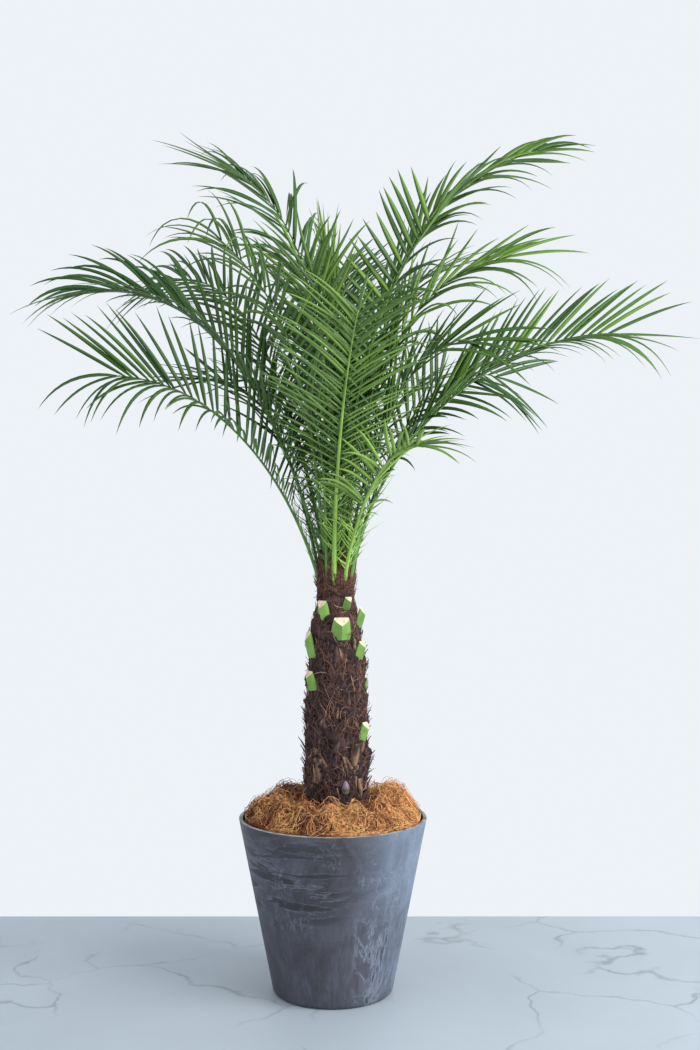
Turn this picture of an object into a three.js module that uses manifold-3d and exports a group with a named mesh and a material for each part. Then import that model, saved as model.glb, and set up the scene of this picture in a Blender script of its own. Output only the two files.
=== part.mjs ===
// A pygmy date palm standing in a straight tapered planter.
// Millimetres, +Z up. The origin is the centre of the planter's flat underside.
import * as THREE from 'three';
import Module from 'manifold-3d';
import { mergeVertices } from 'three/addons/utils/BufferGeometryUtils.js';

const wasm = await Module();
wasm.setup();

const { Vector3 } = THREE;

// ---------------------------------------------------------------- driving sizes

// Planter: plain conical wall, thin rounded rim, flat underside.
const POT_HEIGHT = 340;
const POT_RIM_R = 185;
const POT_FOOT_R = 117;
const POT_FOOT_ROUND = 6;
const POT_WALL = 8;
const POT_FLOOR = 12;
const POT_FOOT_BREAK = { height: 1.8, inset: 2 };
const POT_RIM_ROUND = 2;
const POT_BORE_ROUND = 1.5;
const POT_SIDES = 44;

// Clearance left between touching solids.
const GAP = 0.35;

// Growing medium and the coir mulch heaped over it.
const SOIL_TOP = 322;
const COIR_EDGE_TOP = 331;
const COIR_RISE = 36;
const COIR_HEAP = { widen: 1.15, turn: 0.78, power: 0.8 };
const COIR_RINGS = 4;
const COIR_INNER_R = 45;
const COIR_CREST_R = 62;
const COIR_LUMP = { rise: 6, alongX: 0.062, alongY: 0.071, shiftX: 1.1, shiftY: -0.4, edge: 4 };
const COIR_TUFT = { x: 116, y: 14, rise: 20, spread: 26 };

// Trunk: fibre-covered stem from the soil to the crown seat.
const TRUNK_X = 8;
const TRUNK_SIDES = 24;
const TRUNK_LEAN_X = -2.5;
const TRUNK_PROFILE = [
  [SOIL_TOP + GAP, 70],
  [375, 64],
  [449, 65],
  [518, 63],
  [590, 60],
  [656, 56],
  [700, 52],
  [742, 45],
  [784, 36],
  [829, 5.5],
];
const TRUNK_WAVE = 0.018;
const TRUNK_WAVE_TWIST = 0.021;
const TRUNK_WAVE_FULL_R = 30;
const TRUNK_BOOT_ROWS = 5;
const CONE_GROWTH = 1.6;
const SPACE_BELOW = 8;

// Crown seat: the cone at the trunk's top that the fronds stand on.
const SEAT_TOP_Z = 829;
const SEAT_TOP_R = 5;
const SEAT_SLOPE = 43 / 29;

// Leaf stems cut short on the trunk.
const STUBS = [
  { z: 760, azimuth: 304, width: 18, length: 26 },
  { z: 747, azimuth: 236, width: 26, length: 38 },
  { z: 712, azimuth: 282, width: 38, length: 44 },
  { z: 731, azimuth: 348, width: 20, length: 40 },
  { z: 679, azimuth: 203, width: 26, length: 52 },
  { z: 669, azimuth: 330, width: 24, length: 36 },
  { z: 512, azimuth: 327, width: 22, length: 36 },
  { z: 738, azimuth: 66, width: 24, length: 38 },
  { z: 722, azimuth: 138, width: 26, length: 40 },
  { z: 655, azimuth: 92, width: 28, length: 42 },
  { z: 610, azimuth: 214, width: 26, length: 38 },
  { z: 590, azimuth: 28, width: 26, length: 38 },
  { z: 540, azimuth: 150, width: 26, length: 36 },
];
// Sections of a stub: share of its length, half its width, how far it stands out, and its tilt.
const STUB_LEVELS = [
  { at: 0, half: 0.46, out: 2, tilt: 0 },
  { at: 0.45, half: 0.45, out: 7, tilt: 2 },
  { at: 1, half: 0.36, out: 11, tilt: 12 },
];
const STUB_SUNK = 0.72;
const STUB_BACK_WIDTH = 0.8;

// Fronds: seat radius on the cone, azimuth of the stem, reach and rise of its tip,
// launch and arrival angles from the vertical, sideways sway, roll of the blade, thicker
// stem, leaflet length, lift of the leaflets at the foot and the tip of the blade, and for
// the left and right rows how far they open and how limp they are, at foot and tip.
const FROND_RINGS = [
  {
    seat: 30,
    fronds: {
      left_low: {
        azimuth: 190, reach: 433, rise: 405, launch: 15, arrive: 90, roll: -62, leaf: 195,
        vee: [40, 40], left: [[0.9, 1.7], [3, 4.5]], right: [[0.85, 0.85], [0.5, 0.5]],
      },
      front_left: {
        azimuth: 238, reach: 118, rise: 372, launch: 6, arrive: 45, leaf: 150,
        left: [[1.1, 1.1], [1.6, 1.6]], right: [[1.1, 1.1], [1.6, 1.6]],
      },
      front: {
        azimuth: 265, reach: 400, rise: 478, launch: 6, arrive: 72, sway: 11, stem: 1.2, leaf: 185,
        vee: [30, 6], left: [[1.12, 1.12], [0.9, 0.9]], right: [[1.12, 1.12], [0.9, 0.9]],
      },
      right_small: {
        azimuth: 303, reach: 291, rise: 259, launch: 12, arrive: 100, leaf: 130,
        left: [[1, 1], [1.5, 1.5]], right: [[1, 1], [1.5, 1.5]],
      },
      right_mid: {
        azimuth: 332, reach: 300, rise: 463, launch: 12, arrive: 95, roll: 55,
        vee: [38, 15], left: [[0.6, 0.2], [0.6, 0.6]], right: [[0.9, 0.9], [1.2, 1.2]],
      },
      right_low: {
        azimuth: 358, reach: 546, rise: 490, launch: 5, arrive: 92, roll: 50, leaf: 195,
        vee: [40, 30], left: [[0.2, 0.95], [0.4, 0.4]], right: [[0.4, 0.9], [1.5, 4]],
      },
      right_back: {
        azimuth: 25, reach: 380, rise: 425, launch: 12, arrive: 108, roll: 70,
        vee: [38, 12], left: [[0.8, 0.8], [0.8, 0.8]], right: [[1.3, 1.3], [1.6, 1.6]],
      },
      back_right: { azimuth: 57, reach: 400, rise: 430, launch: 14, arrive: 92 },
      back_low: { azimuth: 90, reach: 380, rise: 400, launch: 15, arrive: 94 },
      back_left: { azimuth: 122, reach: 420, rise: 440, launch: 14, arrive: 92 },
      left_back: { azimuth: 156, reach: 300, rise: 420, launch: 14, arrive: 92, roll: -30 },
    },
  },
  {
    seat: 19.5,
    fronds: {
      left_high: {
        azimuth: 177, reach: 475, rise: 566, launch: 14, arrive: 96, roll: -52, leaf: 195,
        vee: [42, 36], left: [[0.8, 0.6], [1, 3]], right: [[0.75, 0.45], [0.8, 2.4]],
      },
      crest_left: {
        azimuth: 213, reach: 262, rise: 640, launch: 8, arrive: 58, roll: 10, leaf: 190,
        vee: [25, 10], left: [[0.9, 0.9], [3, 5]], right: [[1, 1], [3, 3]],
      },
      front_high: { azimuth: 252, reach: 139, rise: 575, launch: 4, arrive: 50 },
      crest_right: {
        azimuth: 316, reach: 264, rise: 677, launch: 0, arrive: 50, leaf: 135,
        vee: [46, 34], left: [[0.7, 0.7], [0.6, 0.6]], right: [[0.7, 1.7], [0.2, 0.2]],
      },
      right_high: {
        azimuth: 12, reach: 354, rise: 645, launch: 3, arrive: 80, roll: 60, leaf: 190,
        vee: [38, 20], left: [[0.5, 0.1], [0.5, 0.5]], right: [[0.8, 0.8], [2, 5]],
      },
      back_crest: { azimuth: 45, reach: 300, rise: 640, launch: 7, arrive: 70 },
      back_high: { azimuth: 92, reach: 300, rise: 650, launch: 8, arrive: 80 },
      left_mid: {
        azimuth: 141, reach: 500, rise: 635, launch: 12, arrive: 100, roll: -50,
        left: [[0.9, 0.9], [1.8, 1.8]], right: [[0.8, 0.8], [1.6, 1.6]],
      },
    },
  },
  {
    seat: 9.5,
    fronds: {
      top_right: {
        azimuth: 18, reach: 438, rise: 862, launch: 2, arrive: 75, roll: 45, leaf: 160,
        vee: [20, 10], left: [[0.25, 0.3], [0.6, 1.8]], right: [[1, 0.7], [3, 2]],
      },
      top_left: {
        azimuth: 152, reach: 243, rise: 820, launch: 6, arrive: 58, roll: -15, leaf: 200,
        vee: [15, 5], left: [[0.75, 1.35], [6, 0.5]], right: [[0.8, 0.5], [9, 1.5]],
      },
      top_front: { azimuth: 240, reach: 130, rise: 570, launch: 3, arrive: 40, leaf: 165 },
      top_back: { azimuth: 84, reach: 220, rise: 640, launch: 4, arrive: 58, leaf: 160 },
    },
  },
  {
    seat: 0,
    fronds: {
      spear: {
        azimuth: 200, reach: 22, rise: 590, launch: 1, arrive: 6, leaf: 160,
        left: [[0.3, 0.3], [0.3, 0.3]], right: [[0.3, 0.3], [0.3, 0.3]],
      },
    },
  },
];
const RIB_HANDLE = 0.36;
const RIB_STEPS = 9;
const RIB_SUNK = 15;
const RIB_OUTER_WIDTH = 10;
const RIB_INNER_WIDTH = 8.6;
const RIB_SPEAR_WIDTH = 7;
const RIB_TIP_WIDTH = 2.6;
const RIB_DEPTH_SHARE = 0.68;
const RIB_TAPER = { quicken: 1.05, power: 0.62 };
// How much of a blade's depth lies under its middle line.
const KEEL_SHARE = 0.6;

// Leaflets: two rows along the upper part of each rib.
const LEAF_LENGTH = 180;
const LEAF_PAIRS = 12;
const LEAF_START = 0.27;
const LEAF_END = 0.98;
const LEAF_WIDTH = 16;
const LEAF_SUNK = 2.5;
const LEAF_SUNK_SHARE = 0.4;
const LEAF_STAGGER = 0.45;
const LEAF_THICK = 2.4;
const LEAF_BEND_AT = 0.36;
const LEAF_DROOP = 0.2;
const LEAF_ANGLE_LOW = 64;
const LEAF_ANGLE_TIP = 26;
const LEAF_ANGLE_POWER = 1.6;
const LEAF_VEE = [40, 8];
const LEAF_ROW = [[1, 1], [1, 1]];
// The lowest leaflets: where they end along the blade, how much shorter and limper they are.
const LEAF_FOOT = { end: 0.3, shorter: 0.42, limper: 1.5 };
const LEAF_BASE_WIDTH_SHARE = 0.7;
const TERMINAL_LIFT_SHARE = 0.6;
const LEAF_CLEAR = 0.6;
const PARALLEL = 1e-6;
// What a crowded leaflet tries in turn: extra lift in degrees and share of its length.
const LEAF_TRIES = [[0, 1], [12, 1], [-12, 1], [22, 0.9], [-22, 0.9], [8, 0.75], [-8, 0.75]];

// ---------------------------------------------------------------- geometry helpers

const rad = (degrees) => degrees * Math.PI / 180;
const mix = (a, b, t) => a + (b - a) * t;

// A closed surface through rings of equal count; a ring of one point is a tip.
function loft(rings) {
  const points = [];
  const starts = rings.map((ring) => {
    const start = points.length / 3;
    ring.forEach((p) => points.push(p.x, p.y, p.z));
    return start;
  });
  const index = [];
  for (let i = 0; i + 1 < rings.length; i += 1) {
    const a = starts[i];
    const b = starts[i + 1];
    const n = Math.max(rings[i].length, rings[i + 1].length);
    for (let k = 0; k < n; k += 1) {
      const m = (k + 1) % n;
      if (rings[i].length === 1) {
        index.push(a, b + m, b + k);
      } else if (rings[i + 1].length === 1) {
        index.push(a + k, a + m, b);
      } else {
        index.push(a + k, a + m, b + m, a + k, b + m, b + k);
      }
    }
  }
  const cap = (start, n, reverse) => {
    for (let k = 1; k + 1 < n; k += 1) {
      index.push(start, start + (reverse ? k + 1 : k), start + (reverse ? k : k + 1));
    }
  };
  cap(starts[0], rings[0].length, true);
  cap(starts[starts.length - 1], rings[rings.length - 1].length, false);
  const geometry = new THREE.BufferGeometry();
  geometry.setAttribute('position', new THREE.BufferAttribute(new Float32Array(points), 3));
  geometry.setIndex(index);
  return outward(geometry);
}

// Turns a closed geometry's faces outward by the sign of its volume.
function outward(geometry) {
  const at = geometry.getAttribute('position');
  const index = Array.from(geometry.index.array);
  let volume = 0;
  for (let i = 0; i < index.length; i += 3) {
    const [a, b, c] = [0, 1, 2].map((k) => new Vector3().fromBufferAttribute(at, index[i + k]));
    volume += a.dot(b.cross(c));
  }
  if (volume < 0) {
    for (let i = 0; i < index.length; i += 3) {
      const keep = index[i + 1];
      index[i + 1] = index[i + 2];
      index[i + 2] = keep;
    }
    geometry.setIndex(index);
  }
  return geometry;
}

// Merges shared vertices and drops the flat triangles that a lathe leaves on its axis.
function weld(geometry) {
  const bare = geometry.clone();
  bare.deleteAttribute('normal');
  bare.deleteAttribute('uv');
  const merged = mergeVertices(bare, 1e-4);
  const old = merged.index.array;
  const index = [];
  for (let i = 0; i < old.length; i += 3) {
    const [a, b, c] = [old[i], old[i + 1], old[i + 2]];
    if (a !== b && b !== c && c !== a) {
      index.push(a, b, c);
    }
  }
  merged.setIndex(index);
  return outward(merged);
}

function toSolid(geometry) {
  const g = weld(geometry);
  return new wasm.Manifold(new wasm.Mesh({
    numProp: 3,
    vertProperties: new Float32Array(g.getAttribute('position').array),
    triVerts: new Uint32Array(g.index.array),
  }));
}

function toGeometry(solid) {
  const mesh = solid.getMesh();
  const geometry = new THREE.BufferGeometry();
  geometry.setAttribute('position', new THREE.BufferAttribute(new Float32Array(mesh.vertProperties), 3));
  geometry.setIndex(Array.from(mesh.triVerts));
  return geometry;
}

function lathe(profile, sides) {
  const geometry = new THREE.LatheGeometry(profile.map(([r, z]) => new THREE.Vector2(r, z)), sides);
  geometry.rotateX(Math.PI / 2);
  return weld(geometry);
}

const palm = new THREE.Group();

function addPart(name, geometry, colour, roughness) {
  const flat = geometry.toNonIndexed();
  flat.computeVertexNormals();
  const material = new THREE.MeshStandardMaterial({ color: colour, roughness, metalness: 0 });
  const mesh = new THREE.Mesh(flat, material);
  mesh.name = name;
  palm.add(mesh);
  return mesh;
}

// ---------------------------------------------------------------- planter and soil

const potRadius = (z) => mix(POT_FOOT_R, POT_RIM_R, z / POT_HEIGHT);
const boreRadius = (z) => potRadius(z) - POT_WALL;

function pot() {
  const roundZ = POT_HEIGHT - POT_RIM_ROUND;
  return lathe([
    [0, 0],
    [POT_FOOT_R - POT_FOOT_ROUND, 0],
    [potRadius(POT_FOOT_BREAK.height) - POT_FOOT_BREAK.inset, POT_FOOT_BREAK.height],
    [potRadius(POT_FOOT_ROUND), POT_FOOT_ROUND],
    [potRadius(roundZ), roundZ],
    [POT_RIM_R - POT_RIM_ROUND, POT_HEIGHT],
    [boreRadius(POT_HEIGHT) + POT_BORE_ROUND, POT_HEIGHT],
    [boreRadius(POT_HEIGHT), POT_HEIGHT - POT_BORE_ROUND],
    [boreRadius(POT_FLOOR), POT_FLOOR],
    [0, POT_FLOOR],
  ], POT_SIDES);
}

function soil() {
  const bottom = POT_FLOOR + GAP;
  return lathe([
    [0, bottom],
    [boreRadius(bottom) - GAP, bottom],
    [boreRadius(SOIL_TOP) - GAP, SOIL_TOP],
    [0, SOIL_TOP],
  ], POT_SIDES);
}

// ---------------------------------------------------------------- trunk

// Where the leaning trunk's middle is at a height.
const trunkX = (z) => TRUNK_X + TRUNK_LEAN_X * (z - SOIL_TOP) / (SEAT_TOP_Z - SOIL_TOP);

// One ring of the trunk, grown outward by extra.
function trunkRing([z, radius], extra) {
  const fade = Math.min(1, radius / TRUNK_WAVE_FULL_R);
  return Array.from({ length: TRUNK_SIDES }, (_, k) => {
    const angle = k / TRUNK_SIDES * Math.PI * 2;
    const wave = 1 + TRUNK_WAVE * fade * Math.sin(TRUNK_BOOT_ROWS * angle + z * TRUNK_WAVE_TWIST);
    const r = radius * wave + extra;
    return new Vector3(trunkX(z) + r * Math.cos(angle), r * Math.sin(angle), z);
  });
}

const trunk = loft(TRUNK_PROFILE.map((row) => trunkRing(row, 0)));

// The space that other solids keep clear of: the trunk grown by the gap. The cone is
// steep, so its rings grow by more than the gap to leave it square to the surface.
const grownRings = TRUNK_PROFILE.map((row) => trunkRing(row, GAP * CONE_GROWTH));
const shifted = (ring, dz) => ring.map((p) => new Vector3(p.x, p.y, p.z + dz));
const trunkSpace = toSolid(loft([
  shifted(grownRings[0], -SPACE_BELOW),
  ...grownRings,
  shifted(grownRings[grownRings.length - 1], GAP),
]));

// A cut leaf stem: a shield that narrows a little upward and leans out to a slanted cut face.
function stub({ z, azimuth, width, length }) {
  const a = rad(azimuth);
  const facing = new Vector3(Math.cos(a), Math.sin(a), 0);
  const side = new Vector3(-Math.sin(a), Math.cos(a), 0);
  const levels = STUB_LEVELS.map(({ at, half, out, tilt }) => {
    const height = z + length * (at - 0.5);
    const r = trunkRadius(height);
    const place = (s, depth, up) => new Vector3(trunkX(z), 0, height + up)
      .addScaledVector(side, s * width)
      .addScaledVector(facing, depth);
    const edge = (sign) => [
      place(sign * half * STUB_BACK_WIDTH, r * STUB_SUNK, tilt),
      place(sign * half, r + out / 2, tilt / 2),
      place(sign * half / 2, r + out, 0),
    ];
    return [...edge(-1), ...edge(1).reverse()];
  });
  return toSolid(loft(levels)).subtract(trunkSpace);
}

function trunkRadius(z) {
  for (let i = 0; i + 1 < TRUNK_PROFILE.length; i += 1) {
    const [z0, r0] = TRUNK_PROFILE[i];
    const [z1, r1] = TRUNK_PROFILE[i + 1];
    if (z <= z1) {
      return mix(r0, r1, Math.max(0, (z - z0) / (z1 - z0)));
    }
  }
  return SEAT_TOP_R;
}

// ---------------------------------------------------------------- coir mulch

// Height of the mulch at a point: a low heap with soft lumps and one higher tuft.
function coirHeight(x, y, r) {
  const edge = boreRadius(COIR_EDGE_TOP) - GAP;
  const u = Math.min(1, Math.max(0, (edge - r) / (edge - COIR_CREST_R)));
  const climb = Math.sin(Math.PI * Math.min(1, u * COIR_HEAP.widen) * COIR_HEAP.turn) ** COIR_HEAP.power;
  const heap = COIR_EDGE_TOP + COIR_RISE * climb;
  const fade = Math.min(1, u * COIR_LUMP.edge);
  const [waveX, waveY] = [x * COIR_LUMP.alongX + COIR_LUMP.shiftX, y * COIR_LUMP.alongY + COIR_LUMP.shiftY];
  const wave = Math.sin(waveX) * Math.cos(waveY);
  const off = (x - COIR_TUFT.x) ** 2 + (y - COIR_TUFT.y) ** 2;
  const tuft = COIR_TUFT.rise * Math.exp(-off / (2 * COIR_TUFT.spread ** 2));
  return heap + COIR_LUMP.rise * fade * wave + tuft;
}

function coir() {
  const outer = boreRadius(COIR_EDGE_TOP) - GAP;
  const foot = boreRadius(SOIL_TOP) - GAP;
  const ring = (radius, height) => Array.from({ length: POT_SIDES }, (_, k) => {
    const angle = k / POT_SIDES * Math.PI * 2 + Math.PI / 2;
    const [x, y] = [radius * Math.cos(angle), radius * Math.sin(angle)];
    return new Vector3(x, y, height ?? coirHeight(x, y, radius));
  });
  const rings = [ring(foot, SOIL_TOP + GAP), ring(outer, COIR_EDGE_TOP)];
  for (let i = 1; i <= COIR_RINGS; i += 1) {
    rings.push(ring(mix(outer, COIR_INNER_R, i / COIR_RINGS)));
  }
  return toSolid(loft(rings)).subtract(trunkSpace);
}

// ---------------------------------------------------------------- fronds

const FRONDS = FROND_RINGS.flatMap(({ seat, fronds }) => (
  Object.entries(fronds).map(([name, values]) => ({ name, seat, ...values }))));

function heading(fromVertical, azimuth) {
  const s = Math.sin(rad(fromVertical));
  return new Vector3(s * Math.cos(azimuth), s * Math.sin(azimuth), Math.cos(rad(fromVertical)));
}

function ribCurve(frond) {
  const turn = rad(frond.azimuth);
  const end = rad(frond.azimuth + (frond.sway ?? 0));
  const axis = trunkX(SEAT_TOP_Z);
  const seatZ = frond.seat > SEAT_TOP_R ? SEAT_TOP_Z - (frond.seat - SEAT_TOP_R) * SEAT_SLOPE : SEAT_TOP_Z;
  const base = new Vector3(axis + frond.seat * Math.cos(turn), frond.seat * Math.sin(turn), seatZ);
  const tip = new Vector3(axis, 0, seatZ + frond.rise)
    .add(new Vector3(Math.cos(end), Math.sin(end), 0).multiplyScalar(frond.reach));
  const handle = RIB_HANDLE * base.distanceTo(tip);
  return new THREE.CubicBezierCurve3(
    base,
    base.clone().addScaledVector(heading(frond.launch, turn), handle),
    tip.clone().addScaledVector(heading(frond.arrive, end), -handle),
    tip,
  );
}

// Place, tangent, side and upper normal of the curve at a share of its length.
function curveFrame(frond, curve, s) {
  const place = curve.getPointAt(s);
  const along = curve.getTangentAt(s);
  const azimuth = rad(frond.azimuth + (frond.sway ?? 0) * s);
  const across = new Vector3(-Math.sin(azimuth), Math.cos(azimuth), 0);
  const normal = new Vector3().crossVectors(along, across).normalize();
  const side = new Vector3().crossVectors(normal, along).normalize();
  const roll = rad(frond.roll ?? 0) * s * s * (3 - 2 * s);
  const turned = side.clone().multiplyScalar(Math.cos(roll)).addScaledVector(normal, Math.sin(roll));
  normal.multiplyScalar(Math.cos(roll)).addScaledVector(side, -Math.sin(roll));
  return { place, along, side: turned, normal };
}

// The same frame on the straight chord between two rib stations, so that it lies in the solid.
function ribFrame(frond, curve, s) {
  const from = Math.min(RIB_STEPS - 1, Math.floor(s * RIB_STEPS));
  const t = s * RIB_STEPS - from;
  const a = curveFrame(frond, curve, from / RIB_STEPS);
  const b = curveFrame(frond, curve, (from + 1) / RIB_STEPS);
  return {
    place: a.place.lerp(b.place, t),
    along: a.along.lerp(b.along, t).normalize(),
    side: a.side.lerp(b.side, t).normalize(),
    normal: a.normal.lerp(b.normal, t).normalize(),
  };
}

function ribWidth(frond, s) {
  const outer = mix(RIB_INNER_WIDTH, RIB_OUTER_WIDTH, frond.seat / FROND_RINGS[0].seat) * (frond.stem ?? 1);
  const base = frond.seat === 0 ? RIB_SPEAR_WIDTH : outer;
  return mix(base, RIB_TIP_WIDTH, Math.min(1, s * RIB_TAPER.quicken) ** RIB_TAPER.power);
}

// Three corners round a place: the two edges of the upper face and the keel.
function section(place, side, normal, width, depth) {
  const face = place.clone().addScaledVector(normal, depth * (1 - KEEL_SHARE));
  return [
    face.clone().addScaledVector(side, width / 2),
    face.clone().addScaledVector(side, -width / 2),
    place.clone().addScaledVector(normal, -depth * KEEL_SHARE),
  ];
}

function ribRings(frond, curve) {
  const rings = [];
  const first = ribFrame(frond, curve, 0);
  const sunk = first.place.clone().addScaledVector(first.along, -RIB_SUNK);
  const width = ribWidth(frond, 0);
  rings.push(section(sunk, first.side, first.normal, width, width * RIB_DEPTH_SHARE));
  for (let i = 1; i <= RIB_STEPS; i += 1) {
    const s = i / RIB_STEPS;
    const f = ribFrame(frond, curve, s);
    const w = ribWidth(frond, s);
    rings.push(section(f.place, f.side, f.normal, w, w * RIB_DEPTH_SHARE));
  }
  return rings;
}

// Leaflet rings: a root point set inside the rib, the bend, and the drooping tip.
function leafRings(frond, curve, q, hand, lift, share) {
  const s = mix(LEAF_START, LEAF_END, q);
  const f = ribFrame(frond, curve, s);
  const foot = Math.max(0, 1 - q / LEAF_FOOT.end);
  const row = (hand < 0 ? frond.right : frond.left) ?? LEAF_ROW;
  const [opening, limp] = row.map(([low, high]) => mix(low, high, q));
  const spread = mix(LEAF_ANGLE_LOW, LEAF_ANGLE_TIP, q ** LEAF_ANGLE_POWER) * opening;
  const angle = rad(hand === 0 ? 0 : spread);
  const rise = rad(mix(...(frond.vee ?? LEAF_VEE), q) + lift);
  const out = f.side.clone().multiplyScalar(hand * Math.cos(rise)).addScaledVector(f.normal, Math.sin(rise));
  const way = f.along.clone().multiplyScalar(Math.cos(angle)).addScaledVector(out, Math.sin(angle));
  const length = (frond.leaf ?? LEAF_LENGTH) * share * (1 - LEAF_FOOT.shorter * foot);
  const across = new Vector3().crossVectors(f.normal, way).normalize();
  const upper = new Vector3().crossVectors(way, across).normalize();
  const bend = f.place.clone().addScaledVector(way, length * LEAF_BEND_AT);
  const droop = LEAF_DROOP * limp * (1 + LEAF_FOOT.limper * foot);
  const fall = way.clone().add(new Vector3(0, 0, -droop)).normalize();
  const tip = bend.clone().addScaledVector(fall, length * (1 - LEAF_BEND_AT));
  const wide = LEAF_WIDTH * mix(LEAF_BASE_WIDTH_SHARE, 1, length / LEAF_LENGTH);
  const sunk = Math.min(LEAF_SUNK, ribWidth(frond, s) * LEAF_SUNK_SHARE);
  const root = f.place.clone().addScaledVector(way, -sunk);
  return [[root], section(bend, across, upper, wide, LEAF_THICK), [tip]];
}

// ---------------------------------------------------------------- clearance test

// A convex block: its corners, and the directions worth trying as separating axes.
function block(...rings) {
  const points = rings.flat();
  const count = rings[0].length;
  const edges = [];
  const normals = [];
  const next = (ring, k) => ring[(k + 1) % ring.length];
  for (let k = 0; k < count; k += 1) {
    const a = rings[0][k];
    const b = next(rings[0], k);
    const c = rings[1].length === 1 ? rings[1][0] : rings[1][k];
    edges.push(b.clone().sub(a), c.clone().sub(a));
    normals.push(new Vector3().crossVectors(b.clone().sub(a), c.clone().sub(a)).normalize());
    if (rings[1].length > 1) {
      const d = next(rings[1], k);
      normals.push(new Vector3().crossVectors(d.clone().sub(c), d.clone().sub(b)).normalize());
    }
  }
  normals.push(new Vector3().crossVectors(
    rings[0][1].clone().sub(rings[0][0]),
    rings[0][2].clone().sub(rings[0][0]),
  ).normalize());
  const box = new THREE.Box3().setFromPoints(points).expandByScalar(LEAF_CLEAR);
  return { points, edges, normals, box };
}

function apartAlong(axis, a, b) {
  let [a0, a1, b0, b1] = [Infinity, -Infinity, Infinity, -Infinity];
  for (const p of a.points) {
    const v = axis.dot(p);
    a0 = Math.min(a0, v);
    a1 = Math.max(a1, v);
  }
  for (const p of b.points) {
    const v = axis.dot(p);
    b0 = Math.min(b0, v);
    b1 = Math.max(b1, v);
  }
  return a0 > b1 + LEAF_CLEAR || b0 > a1 + LEAF_CLEAR;
}

function clear(a, b) {
  if (!a.box.intersectsBox(b.box)) {
    return true;
  }
  if (a.normals.some((n) => apartAlong(n, a, b)) || b.normals.some((n) => apartAlong(n, a, b))) {
    return true;
  }
  const axis = new Vector3();
  for (const e of a.edges) {
    for (const f of b.edges) {
      axis.crossVectors(e, f);
      if (axis.lengthSq() > PARALLEL && apartAlong(axis.normalize(), a, b)) {
        return true;
      }
    }
  }
  return false;
}

const blocksOf = (rings) => rings.slice(1).map((ring, i) => (
  rings[i].length === 1 ? block(ring, rings[i]) : block(rings[i], ring)));

// Lays every rib first, then the leaflets from the tips inward, so that the outline
// of the crown is kept and only crowded leaflets near its middle are left out.
function growCrown() {
  const limbs = FRONDS.map((frond) => {
    const curve = ribCurve(frond);
    const rings = ribRings(frond, curve);
    return { frond, curve, rings, blocks: blocksOf(rings), leaves: [] };
  });
  const place = (limb, q, hand) => {
    for (const [lift, share] of LEAF_TRIES) {
      const turn = lift * (hand === 0 ? TERMINAL_LIFT_SHARE : 1);
      const rings = leafRings(limb.frond, limb.curve, q, hand, turn, share);
      const blocks = blocksOf(rings);
      const free = limbs.every((other) => other === limb
        || blocks.every((b) => other.blocks.every((o) => clear(b, o))));
      if (free) {
        limb.leaves.push(rings);
        limb.blocks.push(...blocks);
        return;
      }
    }
  };
  limbs.forEach((limb) => place(limb, 1, 0));
  for (let i = LEAF_PAIRS - 1; i >= 0; i -= 1) {
    for (const hand of [-1, 1]) {
      const q = (i + (hand > 0 ? LEAF_STAGGER : 0)) / LEAF_PAIRS;
      limbs.forEach((limb) => place(limb, q, hand));
    }
  }
  return limbs;
}

function frondSolid(limb) {
  const leaves = limb.leaves.map((rings) => toSolid(loft(rings)));
  const whole = leaves.reduce((sum, leaf) => sum.add(leaf), toSolid(loft(limb.rings)));
  return whole.subtract(trunkSpace);
}

// ---------------------------------------------------------------- assembly

addPart('pot', pot(), 0x66707e, 0.72);
addPart('potting_soil', soil(), 0x3a2a20, 0.95);
addPart('coir_mulch', toGeometry(coir()), 0xb0703c, 0.95);
addPart('trunk', trunk, 0x55392f, 0.95);
STUBS.forEach((row, i) => {
  addPart(`leaf_stub_${String(i + 1).padStart(2, '0')}`, toGeometry(stub(row)), 0x8fa04a, 0.7);
});
growCrown().forEach((limb) => {
  const dark = /left|back/.test(limb.frond.name);
  addPart(`frond_${limb.frond.name}`, toGeometry(frondSolid(limb)), dark ? 0x3f6a38 : 0x5a8a3c, 0.6);
});

export default palm;
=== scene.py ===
"""A pygmy date palm in a tapered planter, laid out as an add-on with one operator for each piece.

Sizes are in metres. The crown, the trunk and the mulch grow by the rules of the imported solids,
carried on to fine leaflets, spines, bark and fibre.
"""

import math

import bpy
import numpy as np
from bpy.props import FloatProperty, FloatVectorProperty, IntProperty, PointerProperty
from bpy.types import Operator, Panel, PropertyGroup
from mathutils import Matrix, Vector


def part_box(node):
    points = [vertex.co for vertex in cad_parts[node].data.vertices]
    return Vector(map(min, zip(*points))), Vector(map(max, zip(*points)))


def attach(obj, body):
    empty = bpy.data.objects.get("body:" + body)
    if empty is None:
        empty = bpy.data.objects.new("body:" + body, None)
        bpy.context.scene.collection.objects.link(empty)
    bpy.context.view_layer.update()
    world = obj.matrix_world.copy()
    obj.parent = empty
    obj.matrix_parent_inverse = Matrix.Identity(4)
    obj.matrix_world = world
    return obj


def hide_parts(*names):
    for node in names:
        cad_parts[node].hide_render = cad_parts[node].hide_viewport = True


bl_info = {
    "name": "Potted Palm",
    "version": (1, 0, 0),
    "blender": (4, 5, 0),
    "location": "View3D > Sidebar > Palm",
    "description": "Dresses the packed palm and planter with fronds, bark, mulch and finishes",
    "category": "Add Mesh",
}

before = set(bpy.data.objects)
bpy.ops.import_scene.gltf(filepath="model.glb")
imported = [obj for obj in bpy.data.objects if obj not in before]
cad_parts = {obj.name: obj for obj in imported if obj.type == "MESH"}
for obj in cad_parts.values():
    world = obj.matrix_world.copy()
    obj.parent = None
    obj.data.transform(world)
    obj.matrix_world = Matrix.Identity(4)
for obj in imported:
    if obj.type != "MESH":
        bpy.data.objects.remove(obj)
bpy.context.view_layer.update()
POT_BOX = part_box("pot")
SEED = 417

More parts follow.
